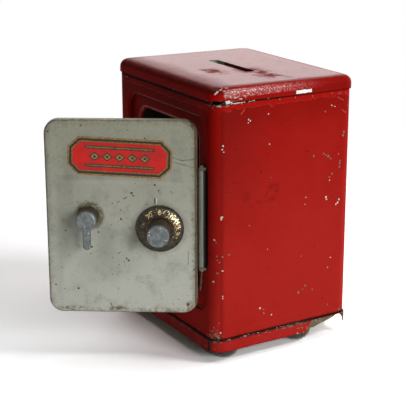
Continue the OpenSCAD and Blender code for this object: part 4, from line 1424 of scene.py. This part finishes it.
@dataclass
class Dial:
    """The dial: number ring, knob and the stack behind the door, in millimetres."""

    band_mid: float = 5.6
    band_sunk: float = -3.2
    band_r: float = 5.4
    number_r: float = 7.75
    number_t: float = 0.1
    stop_r: tuple[float, float] = (8.9, 9.55)
    stop_w: float = 0.28
    stop_edge: float = 0.05
    count: int = 10
    quarters: tuple[float, ...] = (0.25, 0.5, 0.75)
    font_size: float = 3.124
    font_bold: float = 0.035
    weld: float = 0.001

    def height(self, radius: float) -> float:
        """Height of the ring's rounded band over the door's face at a radius."""
        return self.band_sunk + math.sqrt(self.band_r**2 - (radius - self.band_mid) ** 2)

    def wrap(self, mesh: bmesh.types.BMesh, turn: float) -> None:
        """Bends a flat drawing onto the band: y goes outwards, x round the ring and z off it.

        Args:
            mesh: Drawing whose y is a radius and whose x is a way round at that radius.
            turn: Where round the ring it stands, in degrees clockwise from the top.
        """
        for vertex in mesh.verts:
            x, radius, lift = vertex.co
            angle = math.radians(turn) + x / self.number_r
            top = self.height(radius) + lift
            vertex.co = (radius * math.sin(angle), radius * math.cos(angle), top)

    def number(self, text: str) -> bmesh.types.BMesh:
        """Draws one raised number upright at the top of the ring, still flat.

        Args:
            text: The number.

        Returns:
            Its mesh, round the dial's axis.
        """
        curve = bpy.data.curves.new("number", "FONT")
        curve.body = text
        curve.align_x, curve.align_y = "CENTER", "CENTER"
        curve.size = self.font_size
        curve.extrude = self.number_t
        curve.offset = self.font_bold
        curve.resolution_u = 3
        made = bpy.data.objects.new("number", curve)
        bpy.context.collection.objects.link(made)
        bpy.context.view_layer.update()
        data = bpy.data.meshes.new_from_object(made.evaluated_get(bpy.context.evaluated_depsgraph_get()))
        mesh = bmesh.new()
        mesh.from_mesh(data)
        bpy.data.objects.remove(made)
        bpy.data.curves.remove(curve)
        bpy.data.meshes.remove(data)
        bmesh.ops.remove_doubles(mesh, verts=mesh.verts, dist=self.weld)
        bmesh.ops.triangulate(mesh, faces=mesh.faces)
        bmesh.ops.translate(mesh, verts=mesh.verts, vec=(0.0, self.number_r, 0.0))
        return mesh

    def stop(self) -> bmesh.types.BMesh:
        """Makes one short raised division line at the top of the ring, still flat.

        Returns:
            Its mesh, round the dial's axis.
        """
        mesh = bmesh.new()
        bmesh.ops.create_cube(mesh, size=1.0)
        low, high = self.stop_r
        bmesh.ops.scale(mesh, verts=mesh.verts, vec=(self.stop_w, high - low, 2 * self.number_t))
        upper = [e for e in mesh.edges if all(v.co.z > 0 for v in e.verts)]
        edge = self.stop_edge
        bmesh.ops.bevel(mesh, geom=upper, offset=edge, segments=2, profile=0.5, affect="EDGES", material=-1)
        bmesh.ops.translate(mesh, verts=mesh.verts, vec=(0.0, (low + high) / 2, 0.0))
        return mesh

    def gather(self, parts: Sequence[bmesh.types.BMesh]) -> bmesh.types.BMesh:
        """Joins several small meshes into one and places it on the dial.

        Args:
            parts: The meshes, round the dial's axis in millimetres; they are freed.

        Returns:
            The joined mesh, in metres in the row frame.
        """
        whole = bmesh.new()
        for part in parts:
            data = bpy.data.meshes.new("part")
            part.to_mesh(data)
            part.free()
            whole.from_mesh(data)
            bpy.data.meshes.remove(data)
        whole.transform(DOOR.seat(*DOOR.dial))
        return whole

    def build_numbers(self) -> None:
        """Raises the numbers 0 to 90 on the ring, and three division lines between each two."""
        gilt = GiltNumber().material()
        numbers, stops = [], []
        for index in range(self.count):
            turn = 360 * index / self.count
            figure = self.number(str(index * 10))
            self.wrap(figure, turn)
            numbers.append(figure)
            for share in self.quarters:
                line = self.stop()
                self.wrap(line, turn + 360 / self.count * share)
                stops.append(line)
        add_piece("dial_numbers", self.gather(numbers), gilt, "dial")
        add_piece("dial_divisions", self.gather(stops), gilt, "dial")

    def dress(self) -> None:
        """Gives the dial's metal parts their finishes."""
        wear(DialBrass(), "dial_plate")
        wear(CastZinc("knob_zinc", DOOR.dial, clean_y=-12.6), "dial_knob")
        brass = PlainMetal("disc_brass", srgb(176, 146, 86), srgb(128, 100, 56), rust=0.12)
        wear(brass, "combination_disc")
        wear_stack("dial")


class Handle:
    """The lever handle, its ring and the latch behind the door."""

    def dress(self) -> None:
        """Gives the handle's metal parts their finishes."""
        wear(CastZinc("lever_zinc", DOOR.handle, clean_y=-7.9), "handle_lever")
        wear(PlainMetal("ring_steel", srgb(112, 110, 102), srgb(60, 56, 48), rust=0.3), "handle_escutcheon")
        wear(PlainMetal("latch_tin", srgb(158, 154, 142), srgb(118, 108, 90), rust=0.2), "latch_lever")
        wear_stack("handle")


@dataclass(frozen=True)
class Lamp:
    """A soft square lamp, placed in degrees round and above the safe, with its width in metres."""

    name: str
    azimuth: float
    rise: float
    size: float
    watts: float


@dataclass
class Studio:
    """White table, soft light and the camera at the photograph's place."""

    eye: Point = (479.36, -276.33, 231.80)
    yaw: float = 58.894
    pitch: float = 16.760
    roll: float = -0.085
    lens: float = 108.80
    sensor: float = 36.0
    clip: tuple[float, float] = (0.01, 20.0)
    ambient: float = 0.01
    table_bounce: float = 0.8
    table_seen: float = 2.15
    white_from: tuple[float, float] = (240.0, 480.0)
    table_half: float = 3.0
    reach: float = 1.2
    aim: Point = (0.0, 0.0, 0.06)
    lamps: tuple[Lamp, ...] = (
        Lamp("key", 10.0, 15.0, 0.6, 7.3),
        Lamp("roof", 90.0, 78.0, 0.8, 3.2),
        Lamp("spark", 45.0, 42.0, 0.26, 3.6),
        Lamp("back", 149.0, 17.0, 0.8, 4.2),
        Lamp("rear", 80.0, 12.0, 0.6, 3.4),
    )

    def camera(self) -> None:
        """Sets the camera."""
        yaw, pitch, roll = (math.radians(v) for v in (self.yaw, self.pitch, self.roll))
        level, rise = math.cos(pitch), math.sin(pitch)
        ahead = Vector((-math.sin(yaw) * level, math.cos(yaw) * level, -rise))
        flat = Vector((math.cos(yaw), math.sin(yaw), 0.0))
        steep = flat.cross(ahead)
        right = flat * math.cos(roll) + steep * math.sin(roll)
        up = steep * math.cos(roll) - flat * math.sin(roll)
        data = bpy.data.cameras.new("camera")
        data.lens = self.lens
        data.sensor_width = self.sensor
        data.clip_start, data.clip_end = self.clip
        camera = bpy.data.objects.new("camera", data)
        bpy.context.collection.objects.link(camera)
        turn = Matrix((right, up, -ahead)).transposed().to_4x4()
        camera.matrix_world = Matrix.Translation(Vector(self.eye) * MM) @ turn
        bpy.context.scene.camera = camera

    def hang(self, lamp: Lamp) -> None:
        """Hangs a lamp that faces the middle of the safe.

        Args:
            lamp: The lamp.
        """
        turn, lift = math.radians(lamp.azimuth), math.radians(lamp.rise)
        out = Vector((math.cos(turn) * math.cos(lift), math.sin(turn) * math.cos(lift), math.sin(lift)))
        aim = Vector(self.aim)
        at = aim + out * self.reach
        data = bpy.data.lights.new(lamp.name, "AREA")
        data.shape = "RECTANGLE"
        data.size = data.size_y = lamp.size
        data.energy = lamp.watts
        box = bpy.data.objects.new(lamp.name, data)
        bpy.context.collection.objects.link(box)
        facing = (aim - at).to_track_quat("-Z", "Y").to_matrix().to_4x4()
        box.matrix_world = Matrix.Translation(at) @ facing
        box.visible_camera = False

    def world(self) -> None:
        """Lights the room evenly; the camera and gloss see white."""
        world = bpy.data.worlds.new("room")
        bpy.context.scene.world = world
        shader = Shader(world)
        level = {"Value": shader.seen(), "To Min": self.ambient, "To Max": 1.0}
        strength = shader.node("ShaderNodeMapRange", inputs=level)
        light = {"Color": (1.0, 1.0, 1.0), "Strength": strength}
        glow = shader.node("ShaderNodeBackground", inputs=light)
        shader.add("ShaderNodeOutputWorld", inputs={"Surface": glow})

    def table(self) -> None:
        """Lays the white table, which throws less light back than the camera sees in it."""
        mesh = bmesh.new()
        bmesh.ops.create_grid(mesh, x_segments=1, y_segments=1, size=self.table_half)
        table = place("table", mesh)
        paint = Paint("table_white")
        seen = paint.seen()
        bounce, bright = (self.table_bounce,) * 3, (self.table_seen,) * 3
        colour = paint.mix(bounce, bright, seen)
        lit = paint.node("ShaderNodeBsdfDiffuse", inputs={"Color": colour})
        white = paint.node("ShaderNodeEmission", inputs={"Color": (1.0, 1.0, 1.0), "Strength": 1.0})
        far = paint.length(paint.x, paint.y).ramp(*self.white_from)
        both = paint.node("ShaderNodeMixShader", inputs={0: far * seen, 1: lit, 2: white})
        table.data.materials.append(paint.end(both))

    def build(self) -> None:
        """Sets up the whole studio."""
        self.camera()
        self.world()
        self.table()
        for lamp in self.lamps:
            self.hang(lamp)


def main() -> None:
    """Builds the looks in order."""
    logging.basicConfig(level=logging.INFO, format="%(message)s")
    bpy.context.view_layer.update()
    bpy.context.scene.view_settings.view_transform = "Standard"
    Studio().build()
    Case().dress()
    door = Door()
    door.dress()
    door.build_plaque()
    dial = Dial()
    dial.dress()
    dial.build_numbers()
    Handle().dress()


if __name__ == "__main__":
    main()
